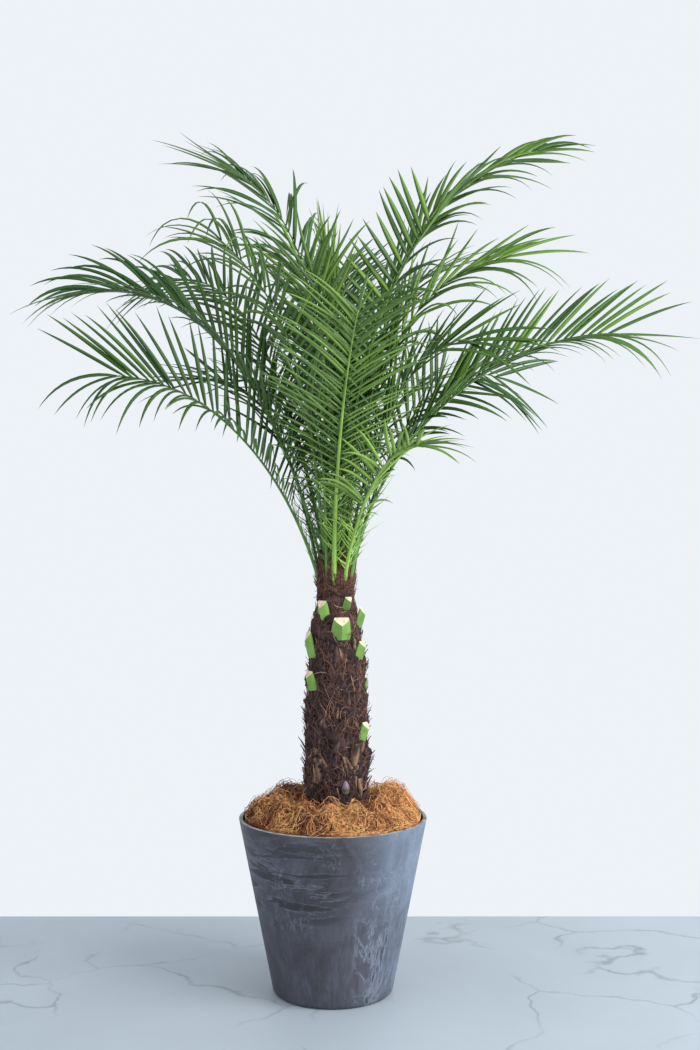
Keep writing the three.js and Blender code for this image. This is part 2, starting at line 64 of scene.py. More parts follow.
# ------------------------------------------------------------------ the plant's driving sizes

# The crown: its axis, then the height, radius and slope of the cone that the ribs grow from.
AXIS_X = 0.0055
SEAT_TOP_Z = 0.829
SEAT_TOP_R = 0.005
SEAT_SLOPE = 43 / 29

# The coir: the soil under it, the height of its edge, the radius of its crest and of the hole round the
# trunk, and the gap that it keeps.
SOIL_TOP = 0.322
MULCH_EDGE_Z = 0.331
MULCH_CREST_R = 0.062
MULCH_INNER_R = 0.045
GAP = 0.00035

# The side bud: height of its foot, azimuth in degrees, width and length.
BUD_Z, BUD_AZIMUTH, BUD_WIDTH, BUD_LENGTH = 0.393, -73, 0.018, 0.027

# Old leaf bases that stand out: foot height, azimuth in degrees, length, half width, lean off the bark,
# slant, and the share of the length where it is widest.
TAN_HUSKS = (
    (0.402, -50, 0.088, 0.0130, 0.14, -0.05, 1), (0.413, -126, 0.058, 0.0095, 0.10, 0.05, 0.5),
    (0.470, -32, 0.036, 0.0080, 0.30, 0.10, 0.3), (0.462, -131, 0.018, 0.0060, 0.50, 0.00, 0.6),
    (0.372, -62, 0.050, 0.0028, 0.35, 1.10, 0), (0.368, -44, 0.052, 0.0024, 0.45, 0.80, 0),
    (0.432, -68, 0.034, 0.0045, 0.20, -0.30, 0.7), (0.372, -38, 0.050, 0.0055, 0.20, -0.15, 0.8),
    (0.405, 62, 0.070, 0.0110, 0.14, 0.10, 1), (0.470, 140, 0.055, 0.0090, 0.12, -0.10, 0.6),
    (0.375, 170, 0.060, 0.0080, 0.15, 0.20, 0.8), (0.505, 20, 0.050, 0.0080, 0.20, 0.10, 0.5),
)
DARK_HUSKS = (
    (0.428, 186, 0.026, 0.0075, 0.85, 0.10, 0.8), (0.436, 193, 0.020, 0.0060, 1.00, -0.20, 0.7),
    (0.452, -8, 0.018, 0.0045, 0.95, 0.20, 0.5), (0.412, -14, 0.022, 0.0030, 1.10, 0.60, 0),
    (0.480, 176, 0.034, 0.0110, 0.22, 0.00, 0.6), (0.388, 182, 0.028, 0.0080, 0.45, 0.20, 0.4),
    (0.398, -20, 0.030, 0.0050, 0.60, -0.40, 0.3), (0.500, -10, 0.026, 0.0080, 0.35, 0.10, 0.6),
)
# Kinds of husk: share of the fibre's colour, number strewn by chance, and those listed one by one.
HUSK_KINDS = (("dark", 1.0, 330, DARK_HUSKS), ("tan", 0.62, 60, TAN_HUSKS))

# The trunk: its middle at the soil, how far it leans by its top, and its radius at each height.
TRUNK_X = 0.008
TRUNK_LEAN_X = -0.0025
TRUNK_PROFILE = (
    (0.3224, 0.070), (0.375, 0.064), (0.449, 0.065), (0.518, 0.063), (0.590, 0.060),
    (0.656, 0.056), (0.700, 0.052), (0.742, 0.045), (0.784, 0.036), (0.829, 0.0055),
)

# Cut leaf stems: height of the middle, azimuth in degrees, width and length.
STUBS = (
    (0.760, 304, 0.018, 0.026), (0.747, 236, 0.026, 0.038), (0.712, 282, 0.038, 0.044),
    (0.731, 348, 0.020, 0.040), (0.679, 203, 0.026, 0.052), (0.669, 330, 0.024, 0.036),
    (0.512, 327, 0.022, 0.036), (0.738, 66, 0.024, 0.038), (0.722, 138, 0.026, 0.040),
    (0.655, 92, 0.028, 0.042), (0.610, 214, 0.026, 0.038), (0.590, 28, 0.026, 0.038),
    (0.540, 150, 0.026, 0.036),
)

# Ribs: the handles of their curve as a share of its chord, how deep their feet sink, and their width at
# the foot in the outer ring, near the middle and on the spear, then at the tip.
RIB_HANDLE = 0.36
RIB_SUNK = 0.015
RIB_OUTER_WIDTH = 0.010
RIB_INNER_WIDTH = 0.0086
RIB_SPEAR_WIDTH = 0.007
RIB_TIP_WIDTH = 0.0022

# Leaflets: where along the rib they start and end, their angle off it at each end of the blade, the fold
# of each at its own foot and tip, the share of the blade where they are still growing to full size, and
# how much shorter, narrower and limper the first ones are.
LEAF_START = 0.27
LEAF_END = 0.985
LEAF_STATIONS = 10
LEAF_ANGLES = (64, 26)
LEAF_FOLD = (46, 16)
LOWEST_SHARE, LOWEST_SHORTER, LOWEST_NARROWER, LOWEST_LIMPER = 0.3, 0.42, 0.55, 1.5


def row(azimuth, reach, rise, launch, arrive, tone, sway=0, roll=0, stem=1, leaf=0.180, wide=1, gap=1,
        wild=1.3, vee=(40, 8), left=(1, 1), right=(1, 1)):
    """One frond: where its rib ends, how it leaves and arrives, and how its leaflets stand.

    Azimuth, launch and arrive are degrees, the last two from upright. Sway turns the tip aside, roll
    tips the blade over, stem thickens the stem, gap widens the step between leaflets and wild scatters
    them. Vee is their lift at the foot and the tip of the blade. Left and right say, for that row seen
    along the rib, how far it opens and how limp it is. Each is a number or a pair for the foot and the
    tip.
    """
    return dict(azimuth=azimuth, reach=reach, rise=rise, launch=launch, arrive=arrive, tone=tone, sway=sway,
                roll=roll, stem=stem, leaf=leaf, wide=wide, gap=gap, wild=wild, vee=vee, left=left,
                right=right)


# Each frond's fifth number is its tone, which sets the colours of its leaflets and rib: mostly low on the
# left and in the core and high at the front and right, which paints shade and light on them.
FROND_RINGS = (
    (0.030, {
        "left_low": row(190, 0.433, 0.405, 15, 90, 0, roll=-62, leaf=0.195, gap=0.9, wild=0.6,
                        vee=(40, 40), left=((0.9, 1.7), (3.0, 4.5)), right=(0.85, 0.5)),
        "front_left": row(238, 0.118, 0.372, 6, 45, 1, leaf=0.150, gap=1.2, left=(1.1, 1.6),
                          right=(1.1, 1.6)),
        "front": row(265, 0.400, 0.478, 6, 72, 2, sway=11, stem=1.2, leaf=0.185, wide=0.8, gap=0.78,
                     wild=0.6, vee=(30, 6), left=(1.12, 0.9), right=(1.12, 0.9)),
        "right_small": row(303, 0.291, 0.259, 12, 100, 3, leaf=0.130, wide=1.1, left=(1, 1.5),
                           right=(1, 1.5)),
        "right_mid": row(332, 0.300, 0.463, 12, 95, 1, roll=55, gap=1.15, vee=(38, 15),
                         left=((0.6, 0.2), 0.6), right=(0.9, 1.2)),
        "right_low": row(358, 0.546, 0.490, 5, 92, 1, roll=50, leaf=0.195, wild=0.5, vee=(40, 30),
                         left=((0.2, 0.95), 0.4), right=((0.4, 0.9), (1.5, 4))),
        "right_back": row(25, 0.380, 0.425, 12, 108, 0, roll=70, vee=(38, 12), left=(0.8, 0.8),
                          right=(1.3, 1.6)),
        "back_right": row(57, 0.400, 0.430, 14, 92, 1, gap=1.9),
        "back_low": row(90, 0.380, 0.400, 15, 94, 1, gap=2.0),
        "back_left": row(122, 0.420, 0.440, 14, 92, 1, gap=1.9),
        "left_back": row(156, 0.300, 0.420, 14, 92, 0, roll=-30, gap=1.3),
    }),
    (0.0195, {
        "left_high": row(177, 0.475, 0.566, 14, 96, 0, roll=-52, leaf=0.195, gap=0.9, wild=0.6, vee=(42, 36),
                         left=((0.8, 0.6), (1, 3)), right=((0.75, 0.45), (0.8, 2.4))),
        "crest_left": row(213, 0.262, 0.640, 8, 58, 1, roll=10, leaf=0.190, vee=(25, 10),
                          left=(0.9, (3, 5)), right=(1, 3)),
        "front_high": row(252, 0.139, 0.575, 4, 50, 1),
        "crest_right": row(316, 0.264, 0.677, 0, 50, 1, leaf=0.135, wide=1.35, gap=1.15, wild=0.5,
                           vee=(46, 34), left=(0.7, 0.6), right=((0.7, 1.7), 0.2)),
        "right_high": row(12, 0.354, 0.645, 3, 80, 2, roll=60, leaf=0.190, gap=1.35, vee=(38, 20),
                          left=((0.5, 0.1), 0.5), right=(0.8, (2, 5))),
        "back_crest": row(45, 0.300, 0.640, 7, 70, 1, gap=1.1),
        "back_high": row(92, 0.300, 0.650, 8, 80, 1, gap=1.1),
        "left_mid": row(141, 0.500, 0.635, 12, 100, 0, roll=-50, left=(0.9, 1.8), right=(0.8, 1.6)),
    }),
    (0.0095, {
        "top_right": row(18, 0.438, 0.862, 2, 75, 1, roll=45, leaf=0.160, wide=1.1, gap=1.3, wild=1.5,
                         vee=(20, 10), left=((0.25, 0.3), (0.6, 1.8)), right=((1, 0.7), (3, 2))),
        "top_left": row(152, 0.243, 0.820, 6, 58, 0, roll=-15, leaf=0.200, gap=0.95, vee=(15, 5),
                        left=((0.75, 1.35), (6, 0.5)), right=((0.8, 0.5), (9, 1.5))),
        "top_front": row(240, 0.130, 0.570, 3, 40, 2, leaf=0.165),
        "top_back": row(84, 0.220, 0.640, 4, 58, 1, leaf=0.160),
    }),
    (0.0, {
        "spear": row(200, 0.022, 0.590, 1, 6, 3, leaf=0.160, wide=1.2, gap=0.6, left=(0.3, 0.3),
                     right=(0.3, 0.3)),
    }),
)
FRONDS = [dict(values, name=name, seat=seat) for seat, ring in FROND_RINGS for name, values in ring.items()]


# ------------------------------------------------------------------ what a user would change

class PlanterSettings(PropertyGroup):
    height: FloatProperty(name="Height", description="Height of the planter", default=POT_BOX[1].z,
                          unit="LENGTH")
    rim_radius: FloatProperty(name="Rim radius", description="Radius over the rim", default=POT_BOX[1].x,
                              unit="LENGTH")
    foot_radius: FloatProperty(name="Foot radius", description="Radius of the foot", default=0.117,
                               unit="LENGTH")
    foot_round: FloatProperty(name="Foot rounding", description="Rounding under the foot", default=0.006,
                              unit="LENGTH")
    wall: FloatProperty(name="Wall", description="Thickness of the wall", default=0.008, unit="LENGTH")
    floor: FloatProperty(name="Floor", description="Thickness of the floor", default=0.012, unit="LENGTH")
    slate_dark: FloatVectorProperty(name="Dark slate", description="Dark colour of the composite",
                                    subtype="COLOR", default=(0.048, 0.044, 0.054))
    slate_mid: FloatVectorProperty(name="Slate", description="Main colour of the composite",
                                   subtype="COLOR", default=(0.088, 0.089, 0.119))
    slate_pale: FloatVectorProperty(name="Pale slate", description="Colour of the pale marbling",
                                    subtype="COLOR", default=(0.31, 0.37, 0.46))
    # Paler slate laid through the marbling over the planter's right side, where the light falls: painted
    # light from the right.
    slate_painted_light: FloatVectorProperty(name="Chalky slate", description="Colour of the chalky side",
                                     subtype="COLOR", default=(0.198, 0.256, 0.350))


class MulchSettings(PropertyGroup):
    rise: FloatProperty(name="Rise", description="Height of the heap over its edge", default=0.036,
                        unit="LENGTH")
    strands: IntProperty(name="Strands", description="Curly strands of each colour", default=2700, min=1)
    strand_length: FloatProperty(name="Strand length", description="Length of a strand", default=0.085,
                                 unit="LENGTH")
    strand_radius: FloatProperty(name="Strand radius", description="Radius of a strand", default=0.00052,
                                 unit="LENGTH")
    # Gold is a lighter copy of the coir's colour for strands where the light falls: painted light.
    gold: FloatVectorProperty(name="Gold", description="Colour of the lit strands",
                              subtype="COLOR", default=(0.80, 0.37, 0.145))
    rust: FloatVectorProperty(name="Rust", description="Colour of most strands",
                              subtype="COLOR", default=(0.34, 0.125, 0.058))
    # Shade is a darker copy of the coir's colour for the bed and the strands deep in the heap: painted shade.
    shade: FloatVectorProperty(name="Shade", description="Colour deep in the heap",
                               subtype="COLOR", default=(0.10, 0.036, 0.022))
    # Straw, the palest strands, is partly the coir's own pale fibre and partly painted highlight, kept to the
    # lit clumps and the right.
    straw: FloatVectorProperty(name="Straw", description="Colour of the few palest strands",
                               subtype="COLOR", default=(0.97, 0.52, 0.21))


class TrunkSettings(PropertyGroup):
    relief: FloatProperty(name="Relief", description="How far old leaf bases stand out", default=0.0085,
                          unit="LENGTH")
    base_rise: FloatProperty(name="Leaf base step", description="Height from one leaf base to the next",
                             default=0.0085, unit="LENGTH")
    fibres: IntProperty(name="Fibres", description="Fibres of each colour on the bark", default=2600, min=1)
    fibre_radius: FloatProperty(name="Fibre radius", description="Radius of a fibre", default=0.00055,
                                unit="LENGTH")
    bark: FloatVectorProperty(name="Bark", description="Colour of the bark",
                              subtype="COLOR", default=(0.036, 0.022, 0.022))
    fibre_dark: FloatVectorProperty(name="Dark fibre", description="Colour of the dark fibre",
                                    subtype="COLOR", default=(0.092, 0.054, 0.053))
    fibre_red: FloatVectorProperty(name="Red fibre", description="Colour of the reddish fibre",
                                   subtype="COLOR", default=(0.182, 0.092, 0.067))
    fibre_tan: FloatVectorProperty(name="Tan fibre", description="Colour of the newest fibre",
                                   subtype="COLOR", default=(0.41, 0.25, 0.165))


class FrondSettings(PropertyGroup):
    leaf_spacing: FloatProperty(name="Leaflet spacing", description="Step between leaflets on one side",
                                default=0.0168, unit="LENGTH")
    leaf_width: FloatProperty(name="Leaflet width", description="Widest part of a leaflet", default=0.0098,
                              unit="LENGTH")
    leaf_thick: FloatProperty(name="Leaflet thickness", description="Thickness along the fold",
                              default=0.0007, unit="LENGTH")
    droop: FloatProperty(name="Droop", description="How far leaflet tips hang", default=0.34)
    spine_length: FloatProperty(name="Spine length", description="Longest spine on a leaf stem",
                                default=0.062, unit="LENGTH")


class StageSettings(PropertyGroup):
    floor: FloatVectorProperty(name="Floor", description="Colour of the floor",
                               subtype="COLOR", default=(0.366, 0.424, 0.478))
    wall: FloatVectorProperty(name="Wall", description="Colour behind the palm",
                              subtype="COLOR", default=(0.85, 0.89, 0.935))
    key: FloatProperty(name="Key light", description="Power of the main light", default=122.0, unit="POWER")
    fill: FloatProperty(name="Fill light", description="Power of the weaker light", default=6.0, unit="POWER")


# ------------------------------------------------------------------ finishes

class Finish:
    """A node-built material whose patterns read object coordinates."""

    def __init__(self, name, roughness, specular=0.5):
        self.material = bpy.data.materials.new(name)
        self.material.use_nodes = True
        self.tree = self.material.node_tree
        self.shader = self.tree.nodes["Principled BSDF"]
        self.feed(self.shader.inputs["Roughness"], roughness)
        self.feed(self.shader.inputs["Specular IOR Level"], specular)

    def feed(self, socket, value):
        """Gives an input another node's output, or a plain colour, vector or number."""
        if isinstance(value, bpy.types.NodeSocket):
            self.tree.links.new(value, socket)
        else:
            socket.default_value = (*value, 1) if socket.type == "RGBA" else value

    def add(self, kind, inputs, **settings):
        """A node with its settings, fed at the inputs given by name or number."""
        node = self.tree.nodes.new(kind)
        for key, value in settings.items():
            setattr(node, key, value)
        for key, value in inputs.items():
            self.feed(node.inputs[key], value)
        return node

    def coordinates(self):
        return self.add("ShaderNodeTexCoord", {}).outputs["Object"]

    def placed(self, stretch, shift):
        """Object coordinates, squeezed along each axis by stretch and slid so that no two patterns match."""
        slide = (shift, shift * 0.7, shift * 1.3)
        inputs = {"Vector": self.coordinates(), "Scale": stretch, "Location": slide}
        return self.add("ShaderNodeMapping", inputs).outputs["Vector"]

    def noise(self, scale, stretch=(1, 1, 1), detail=4.0, rough=0.6, distortion=0.0, shift=0.0):
        """Noise of a given scale, squeezed along each axis by stretch."""
        inputs = {"Vector": self.placed(stretch, shift), "Scale": scale, "Detail": detail,
                  "Roughness": rough, "Distortion": distortion}
        return self.add("ShaderNodeTexNoise", inputs).outputs["Fac"]

    def cracks(self, scale, width, stretch=(1, 1, 1), wobble=0.1, shift=0.0):
        """Crooked lines between cells: one on a line and zero beyond its width."""
        place = self.placed(stretch, shift)
        bend = self.add("ShaderNodeTexNoise", {"Vector": place, "Scale": scale * 1.6, "Detail": 6})
        push = self.add("ShaderNodeVectorMath", {0: bend.outputs["Color"], 1: (wobble,) * 3, 2: place},
                        operation="MULTIPLY_ADD")
        cells = self.add("ShaderNodeTexVoronoi", {"Vector": push.outputs["Vector"], "Scale": scale},
                         feature="DISTANCE_TO_EDGE")
        return self.ramp(cells.outputs["Distance"], (0.0, 1.0), (width, 0.0))

    def ramp(self, source, *stops):
        """Colours, or greys as plain numbers, at their places along a pattern."""
        node = self.add("ShaderNodeValToRGB", {"Fac": source})
        elements = node.color_ramp.elements
        while len(elements) < len(stops):
            elements.new(0.5)
        for element, (at, colour) in zip(elements, stops):
            element.position = at
            element.color = (*colour, 1) if hasattr(colour, "__len__") else (colour, colour, colour, 1)
        return node.outputs["Color"]

    def mix(self, factor, under, over):
        """Lays one colour over another by a mask."""
        return self.add("ShaderNodeMix", {0: factor, 6: under, 7: over}, data_type="RGBA").outputs[2]

    def span(self, low, high, axis="Z"):
        """Zero at one place along an axis and one at another."""
        split = self.add("ShaderNodeSeparateXYZ", {"Vector": self.coordinates()})
        inputs = {"Value": split.outputs[axis], "From Min": low, "From Max": high}
        return self.add("ShaderNodeMapRange", inputs, interpolation_type="SMOOTHSTEP").outputs["Result"]

    def product(self, mask, *others):
        """All masks multiplied."""
        for other in others:
            mask = self.add("ShaderNodeMath", {0: mask, 1: other}, operation="MULTIPLY").outputs[0]
        return mask

    def colour(self, source):
        self.feed(self.shader.inputs["Base Color"], source)
        return self

    def gloss(self, source, low, high):
        """Roughness that follows a pattern between two values."""
        span = self.add("ShaderNodeMapRange", {"Value": source, "To Min": low, "To Max": high})
        self.feed(self.shader.inputs["Roughness"], span.outputs["Result"])
        return self

    def relief(self, source, strength, distance):
        """Bump laid over the relief that the finish already has."""
        normal = self.shader.inputs["Normal"]
        inputs = {"Strength": strength, "Distance": distance, "Height": source}
        if normal.is_linked:
            inputs["Normal"] = normal.links[0].from_socket
        self.feed(normal, self.add("ShaderNodeBump", inputs).outputs["Normal"])
        return self


def tinted(colour, factor):
    return tuple(min(1.0, c * factor) for c in colour)


def mottled(name, colour, roughness, scale, spread=0.3, stretch=(1, 1, 1), bump=0.3, specular=0.5):
    """A finish of one colour that varies softly, with a little relief."""
    finish = Finish(name, roughness, specular)
    grain = finish.noise(scale, stretch)
    finish.colour(finish.ramp(grain, (0.3, tinted(colour, 1 - spread)), (0.7, tinted(colour, 1 + spread))))
    finish.relief(finish.noise(scale * 5, stretch, shift=3.1), bump, 0.001)
    return finish


# ------------------------------------------------------------------ making pieces

def clear_selection():
    bpy.ops.object.select_all(action="DESELECT")


def face_outwards():
    """Turns all faces of the mesh in edit mode outwards and leaves edit mode."""
    bpy.ops.mesh.select_all(action="SELECT")
    bpy.ops.mesh.normals_make_consistent(inside=False)
    bpy.ops.object.mode_set(mode="OBJECT")


def place_piece(obj, slot, nodes, *finishes):
    """Gives a finished piece its materials and its body, and hides the nodes it stands for. The slot is not
    used.
    """
    for finish in finishes:
        obj.data.materials.append(finish.material)
    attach(obj, "root")
    if nodes:
        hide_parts(*nodes)
    return obj


def joined(name, points, faces, shades=None):
    """One mesh of many like shapes: points are shapes x corners x 3, faces index one shape's corners."""
    points = np.asarray(points, np.float32)
    count, per = points.shape[:2]
    loops = np.concatenate([np.asarray(face) for face in faces])
    loops = (loops[None, :] + per * np.arange(count)[:, None]).ravel()
    sizes = np.tile([len(face) for face in faces], count)
    starts = np.concatenate([[0], np.cumsum(sizes)[:-1]])
    mesh = bpy.data.meshes.new(name)
    mesh.vertices.add(count * per)
    mesh.vertices.foreach_set("co", points.ravel())
    mesh.loops.add(len(loops))
    mesh.loops.foreach_set("vertex_index", loops.astype(np.int32))
    mesh.polygons.add(len(sizes))
    mesh.polygons.foreach_set("loop_start", starts.astype(np.int32))
    mesh.update(calc_edges=True)
    mesh.polygons.foreach_set("use_smooth", np.ones(len(sizes), bool))
    if shades is not None:
        mesh.polygons.foreach_set("material_index", np.tile(shades, count).astype(np.int32))
    obj = bpy.data.objects.new(name, mesh)
    bpy.context.scene.collection.objects.link(obj)
    return obj


def unit(vectors):
    return vectors / np.maximum(np.linalg.norm(vectors, axis=-1, keepdims=True), 1e-9)


def blend(a, b, t):
    return a + (b - a) * t


def ease(value, start, run, low=0):
    """Climbs from low to 1 over a run that begins at start: a negative run counts downwards."""
    return np.clip((value - start) / run, low, 1)


def around(turns):
    """Angles of evenly spaced spokes."""
    return np.arange(turns) * 2 * math.pi / turns


def level(x, y):
    """Points at height zero."""
    return np.stack([x, y, np.zeros_like(x)], axis=-1)


def ripple(points, size, seed):
    """Soft bumps of about -1 to 1 and of about that size, from crossing waves."""
    rng = np.random.default_rng(seed)
    total = np.zeros(points.shape[:-1])
    for _ in range(8):
        way = unit(rng.normal(size=3)) * 2 * math.pi / size * rng.uniform(0.6, 1.5)
        total += np.sin(points @ way + rng.uniform(0, 6.3))
    return total / 2.8


def lumps(points, kinds):
    """Bumps of several kinds added up, each with its height, size and seed."""
    return sum(height * ripple(points, size, seed) for height, size, seed in kinds)


def band(low, high, sides):
    """The quads between two rings of a mesh."""
    corners = [(k, (k + 1) % sides) for k in range(sides)]
    return [(low * sides + k, low * sides + m, high * sides + m, high * sides + k) for k, m in corners]


def bands(stations, sides):
    return [face for i in range(stations - 1) for face in band(i, i + 1, sides)]


def tube_faces(stations, sides):
    """Faces of a tube with closed ends."""
    last = (stations - 1) * sides
    return [tuple(reversed(range(sides))), *bands(stations, sides), tuple(range(last, last + sides))]


def strands(name, paths, radii, sides=3):
    """Thin tubes along many paths (strands x stations x 3) with a radius at each station."""
    count, stations = paths.shape[:2]
    along = unit(np.gradient(paths, axis=1))
    rng = np.random.default_rng(count)
    side = unit(np.cross(along[:, 0], rng.normal(size=(count, 3))))
    turn = around(sides)[None, :, None]
    rings = np.empty((count, stations, sides, 3))
    for i in range(stations):
        side = unit(side - along[:, i] * np.sum(side * along[:, i], axis=-1, keepdims=True))
        other = np.cross(along[:, i], side)
        spoke = np.cos(turn) * side[:, None] + np.sin(turn) * other[:, None]
        rings[:, i] = paths[:, i, None] + radii[:, i, None, None] * spoke
    return joined(name, rings.reshape(count, stations * sides, 3), tube_faces(stations, sides))


def hairs(name, paths, radius, spread, end, rng):
    """Strands whose radius varies by spread from one to the next and thins to a share at both ends."""
    count, stations = paths.shape[:2]
    radii = np.full((count, stations), radius) * rng.uniform(*spread, (count, 1))
    radii[:, [0, -1]] *= end
    return strands(name, paths, radii)


# ------------------------------------------------------------------ planter

# Sides of the planter, rings up its wall and down its bore, and how far down the rim's top takes its paler
# olive colour.
POT_SIDES = 144
WALL_RINGS = 12
BORE_RINGS = 6
RIM_TOP_DEPTH = 0.0012


def planter_radius(s, z):
    return blend(s.foot_radius, s.rim_radius, z / s.height)


def bore_radius(s, z):
    return planter_radius(s, z) - s.wall


def planter_profile(s):
    """Radius and height of each ring, up the outside, over the rim and down the bore."""
    wall_top, bore_top = s.height - 0.0022, s.height - 0.002
    rings = [(s.foot_radius - 0.0035, 0.0006), (planter_radius(s, 0.002) - 0.0014, 0.002),
             (planter_radius(s, s.foot_round), s.foot_round)]
    for i in range(1, WALL_RINGS + 1):
        z = blend(s.foot_round, wall_top, i / WALL_RINGS)
        rings.append((planter_radius(s, z), z))
    bore = planter_radius(s, s.height) - s.wall
    rings += [(s.rim_radius - 0.0006, s.height - 0.0008), (s.rim_radius - 0.002, s.height),
              (bore + 0.0018, s.height), (bore + 0.0005, s.height - 0.0007), (bore, bore_top)]
    for i in range(1, BORE_RINGS + 1):
        z = blend(bore_top, s.floor, i / BORE_RINGS)
        rings.append((bore_radius(s, z), z))
    return rings


def planter_finish(s):
    """Dark slate with cloudy marbling, dark smears high up, fine streaks low down, pale cracks and a right
    side paled by painted light.
    """
    finish = Finish("slate_composite", 0.55, 0.42)
    cloud = finish.noise(10, detail=9, rough=0.68, distortion=0.8)
    streak = finish.noise(150, (1, 1, 0.05), detail=3, shift=4.0)
    smear = finish.noise(9, (1, 1, 6.5), detail=7, shift=1.7, distortion=0.5)
    patch = finish.noise(9, shift=2.4)
    flake = finish.noise(30, (1, 1, 0.36), detail=9, rough=0.75, shift=6.6, distortion=0.6)
    dust = finish.noise(170, detail=5, rough=0.8, shift=5.5)
    # The right side grows paler: painted light from the right.
    painted_light = finish.span(0.02, 0.16, "X")
    high = finish.product(finish.span(0.15, 0.20), finish.span(0.40, 0.24), finish.span(0.06, -0.03, "X"))
    right = finish.product(finish.span(0.030, 0.055, "X"), finish.span(0.125, 0.085, "X"),
                           finish.span(0.21, 0.14))
    fine = finish.product(finish.cracks(48, 0.06, (1, 1, 0.6), 0.035, 8.3),
                          finish.ramp(patch, (0.50, 0.0), (0.64, 1.0)))
    layers = (
        (s.slate_painted_light, painted_light, finish.ramp(cloud, (0.30, 0.45), (0.60, 1.0))),
        (s.slate_dark, finish.ramp(streak, (0.35, 0.0), (0.65, 0.6)), finish.span(0.26, 0.10)),
        (tinted(s.slate_dark, 0.6), finish.ramp(smear, (0.50, 0.0), (0.56, 0.85)), high),
        (s.slate_pale, finish.ramp(smear, (0.480, 0.0), (0.496, 0.40), (0.508, 0.0)), high),
        (s.slate_pale, fine, finish.span(0.12, 0.19), 0.45),
        (tinted(s.slate_dark, 0.75), finish.ramp(flake, (0.54, 0.0), (0.58, 0.9)), right),
        (s.slate_pale, finish.ramp(flake, (0.47, 0.0), (0.515, 0.55), (0.54, 0.0)), right),
        (s.slate_pale, finish.ramp(dust, (0.58, 0.0), (0.72, 0.5)), finish.span(0.05, 0.0)),
    )
    look = finish.ramp(cloud, (0.36, s.slate_dark), (0.55, s.slate_mid), (0.74, tinted(s.slate_mid, 1.38)))
    for colour, *masks in layers:
        look = finish.mix(finish.product(*masks), look, colour)
    finish.colour(look)
    finish.gloss(cloud, 0.42, 0.68)
    finish.relief(finish.noise(60, detail=8, rough=0.7), 0.25, 0.0012)
    finish.relief(fine, 0.2, 0.0006)
    return finish


class PALM_OT_planter(Operator):
    """Turn the planter: one disc drawn up the wall, over the rim and down the bore"""

    bl_idname = "palm.planter"
    bl_label = "Planter"

    def execute(self, context):
        s = context.scene.palm_planter
        clear_selection()
        radius, height = s.foot_radius - s.foot_round, 0.0
        bpy.ops.mesh.primitive_circle_add(vertices=POT_SIDES, radius=radius, fill_type="NGON",
                                          location=(0, 0, 0))
        pot = context.object
        pot.name = "planter"
        bpy.ops.object.mode_set(mode="EDIT")
        bpy.ops.mesh.select_all(action="SELECT")
        for next_radius, next_height in planter_profile(s):
            bpy.ops.mesh.extrude_region_move(TRANSFORM_OT_translate={"value": (0, 0, next_height - height)})
            share = next_radius / radius
            bpy.ops.transform.resize(value=(share, share, 1), center_override=(0, 0, next_height))
            radius, height = next_radius, next_height
        face_outwards()
        bpy.ops.object.shade_smooth_by_angle(angle=math.radians(40))
        # The faces at the top of the rim take a paler olive colour.
        rim = Finish("rim_wear", 0.62, 0.4)
        rim_mottle = rim.noise(40, detail=6)
        rim.colour(rim.ramp(rim_mottle, (0.35, tinted(s.slate_mid, 0.9)), (0.6, (0.30, 0.31, 0.27))))
        for face in pot.data.polygons:
            face.material_index = int(face.center.z > s.height - RIM_TOP_DEPTH)
        place_piece(pot, "pot", ["pot"], planter_finish(s), rim)
        return {"FINISHED"}


class PALM_OT_soil(Operator):
    """Give the packed soil its dark, crumbly finish"""

    bl_idname = "palm.soil"
    bl_label = "Potting soil"

    def execute(self, context):
        finish = mottled("potting_soil_finish", (0.045, 0.030, 0.022), 0.95, 90, 0.5, bump=0.8, specular=0.2)
        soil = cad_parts["potting_soil"]
        soil.data.materials.clear()
        soil.data.materials.append(finish.material)
        return {"FINISHED"}


# ------------------------------------------------------------------ mulch

# The heap's climb from its edge, its slow waves, and the tuft that stands highest.
HEAP_WIDEN, HEAP_TURN, HEAP_POWER = 1.15, 0.78, 0.8
WAVE_RISE, WAVE_EDGE = 0.006, 4
TUFT_X, TUFT_Y, TUFT_RISE, TUFT_SPREAD = 0.116, 0.014, 0.020, 0.026

# Height, size and seed of the lumps in the bed, and how far in from the edge they reach full height.
BED_LUMPS = ((0.0055, 0.048, 5), (0.0030, 0.018, 6))
BED_LUMP_FADE = 0.03
BED_TURNS = 150
BED_RINGS = 34

# Kinds of strand: share of the set number, least and most lift, and how far they keep to lit clumps and the
# right side.
# The gold and straw kinds keep to where the light falls, which is painted light, and the shade kind keeps
# away, which is painted shade.
CURL_KINDS = (("gold", 0.95, 0.002, 0.010, 0.6), ("rust", 1.0, 0.0005, 0.008, 0.0),
              ("shade", 0.85, 0.0005, 0.008, -1.1), ("straw", 0.22, 0.004, 0.013, 0.8))
CURL_STATIONS = 12
# Size and seed of the lit clumps, the pull towards the right side that paints the light from the right, and
# the chance in the choice.
CLUMP_SIZE, CLUMP_SEED, PAINTED_LIGHT_TO_RIGHT, CLUMP_CHANCE = 0.055, 21, 5, 0.8

# Where strands start and how near the trunk they come, their turn to either side at each step with its
# spread and its change, the shake in their height, and the few that spring up.
CURL_START_R, CURL_INNER_R = 0.058, 0.052
CURL_TURN, CURL_TURN_SPREAD, CURL_TURN_CHANGE = 0.5, 0.45, 0.28
CURL_SHAKE = 0.0011
WILD_SHARE = 0.08
WILD_LIFT = (0.008, 0.025)


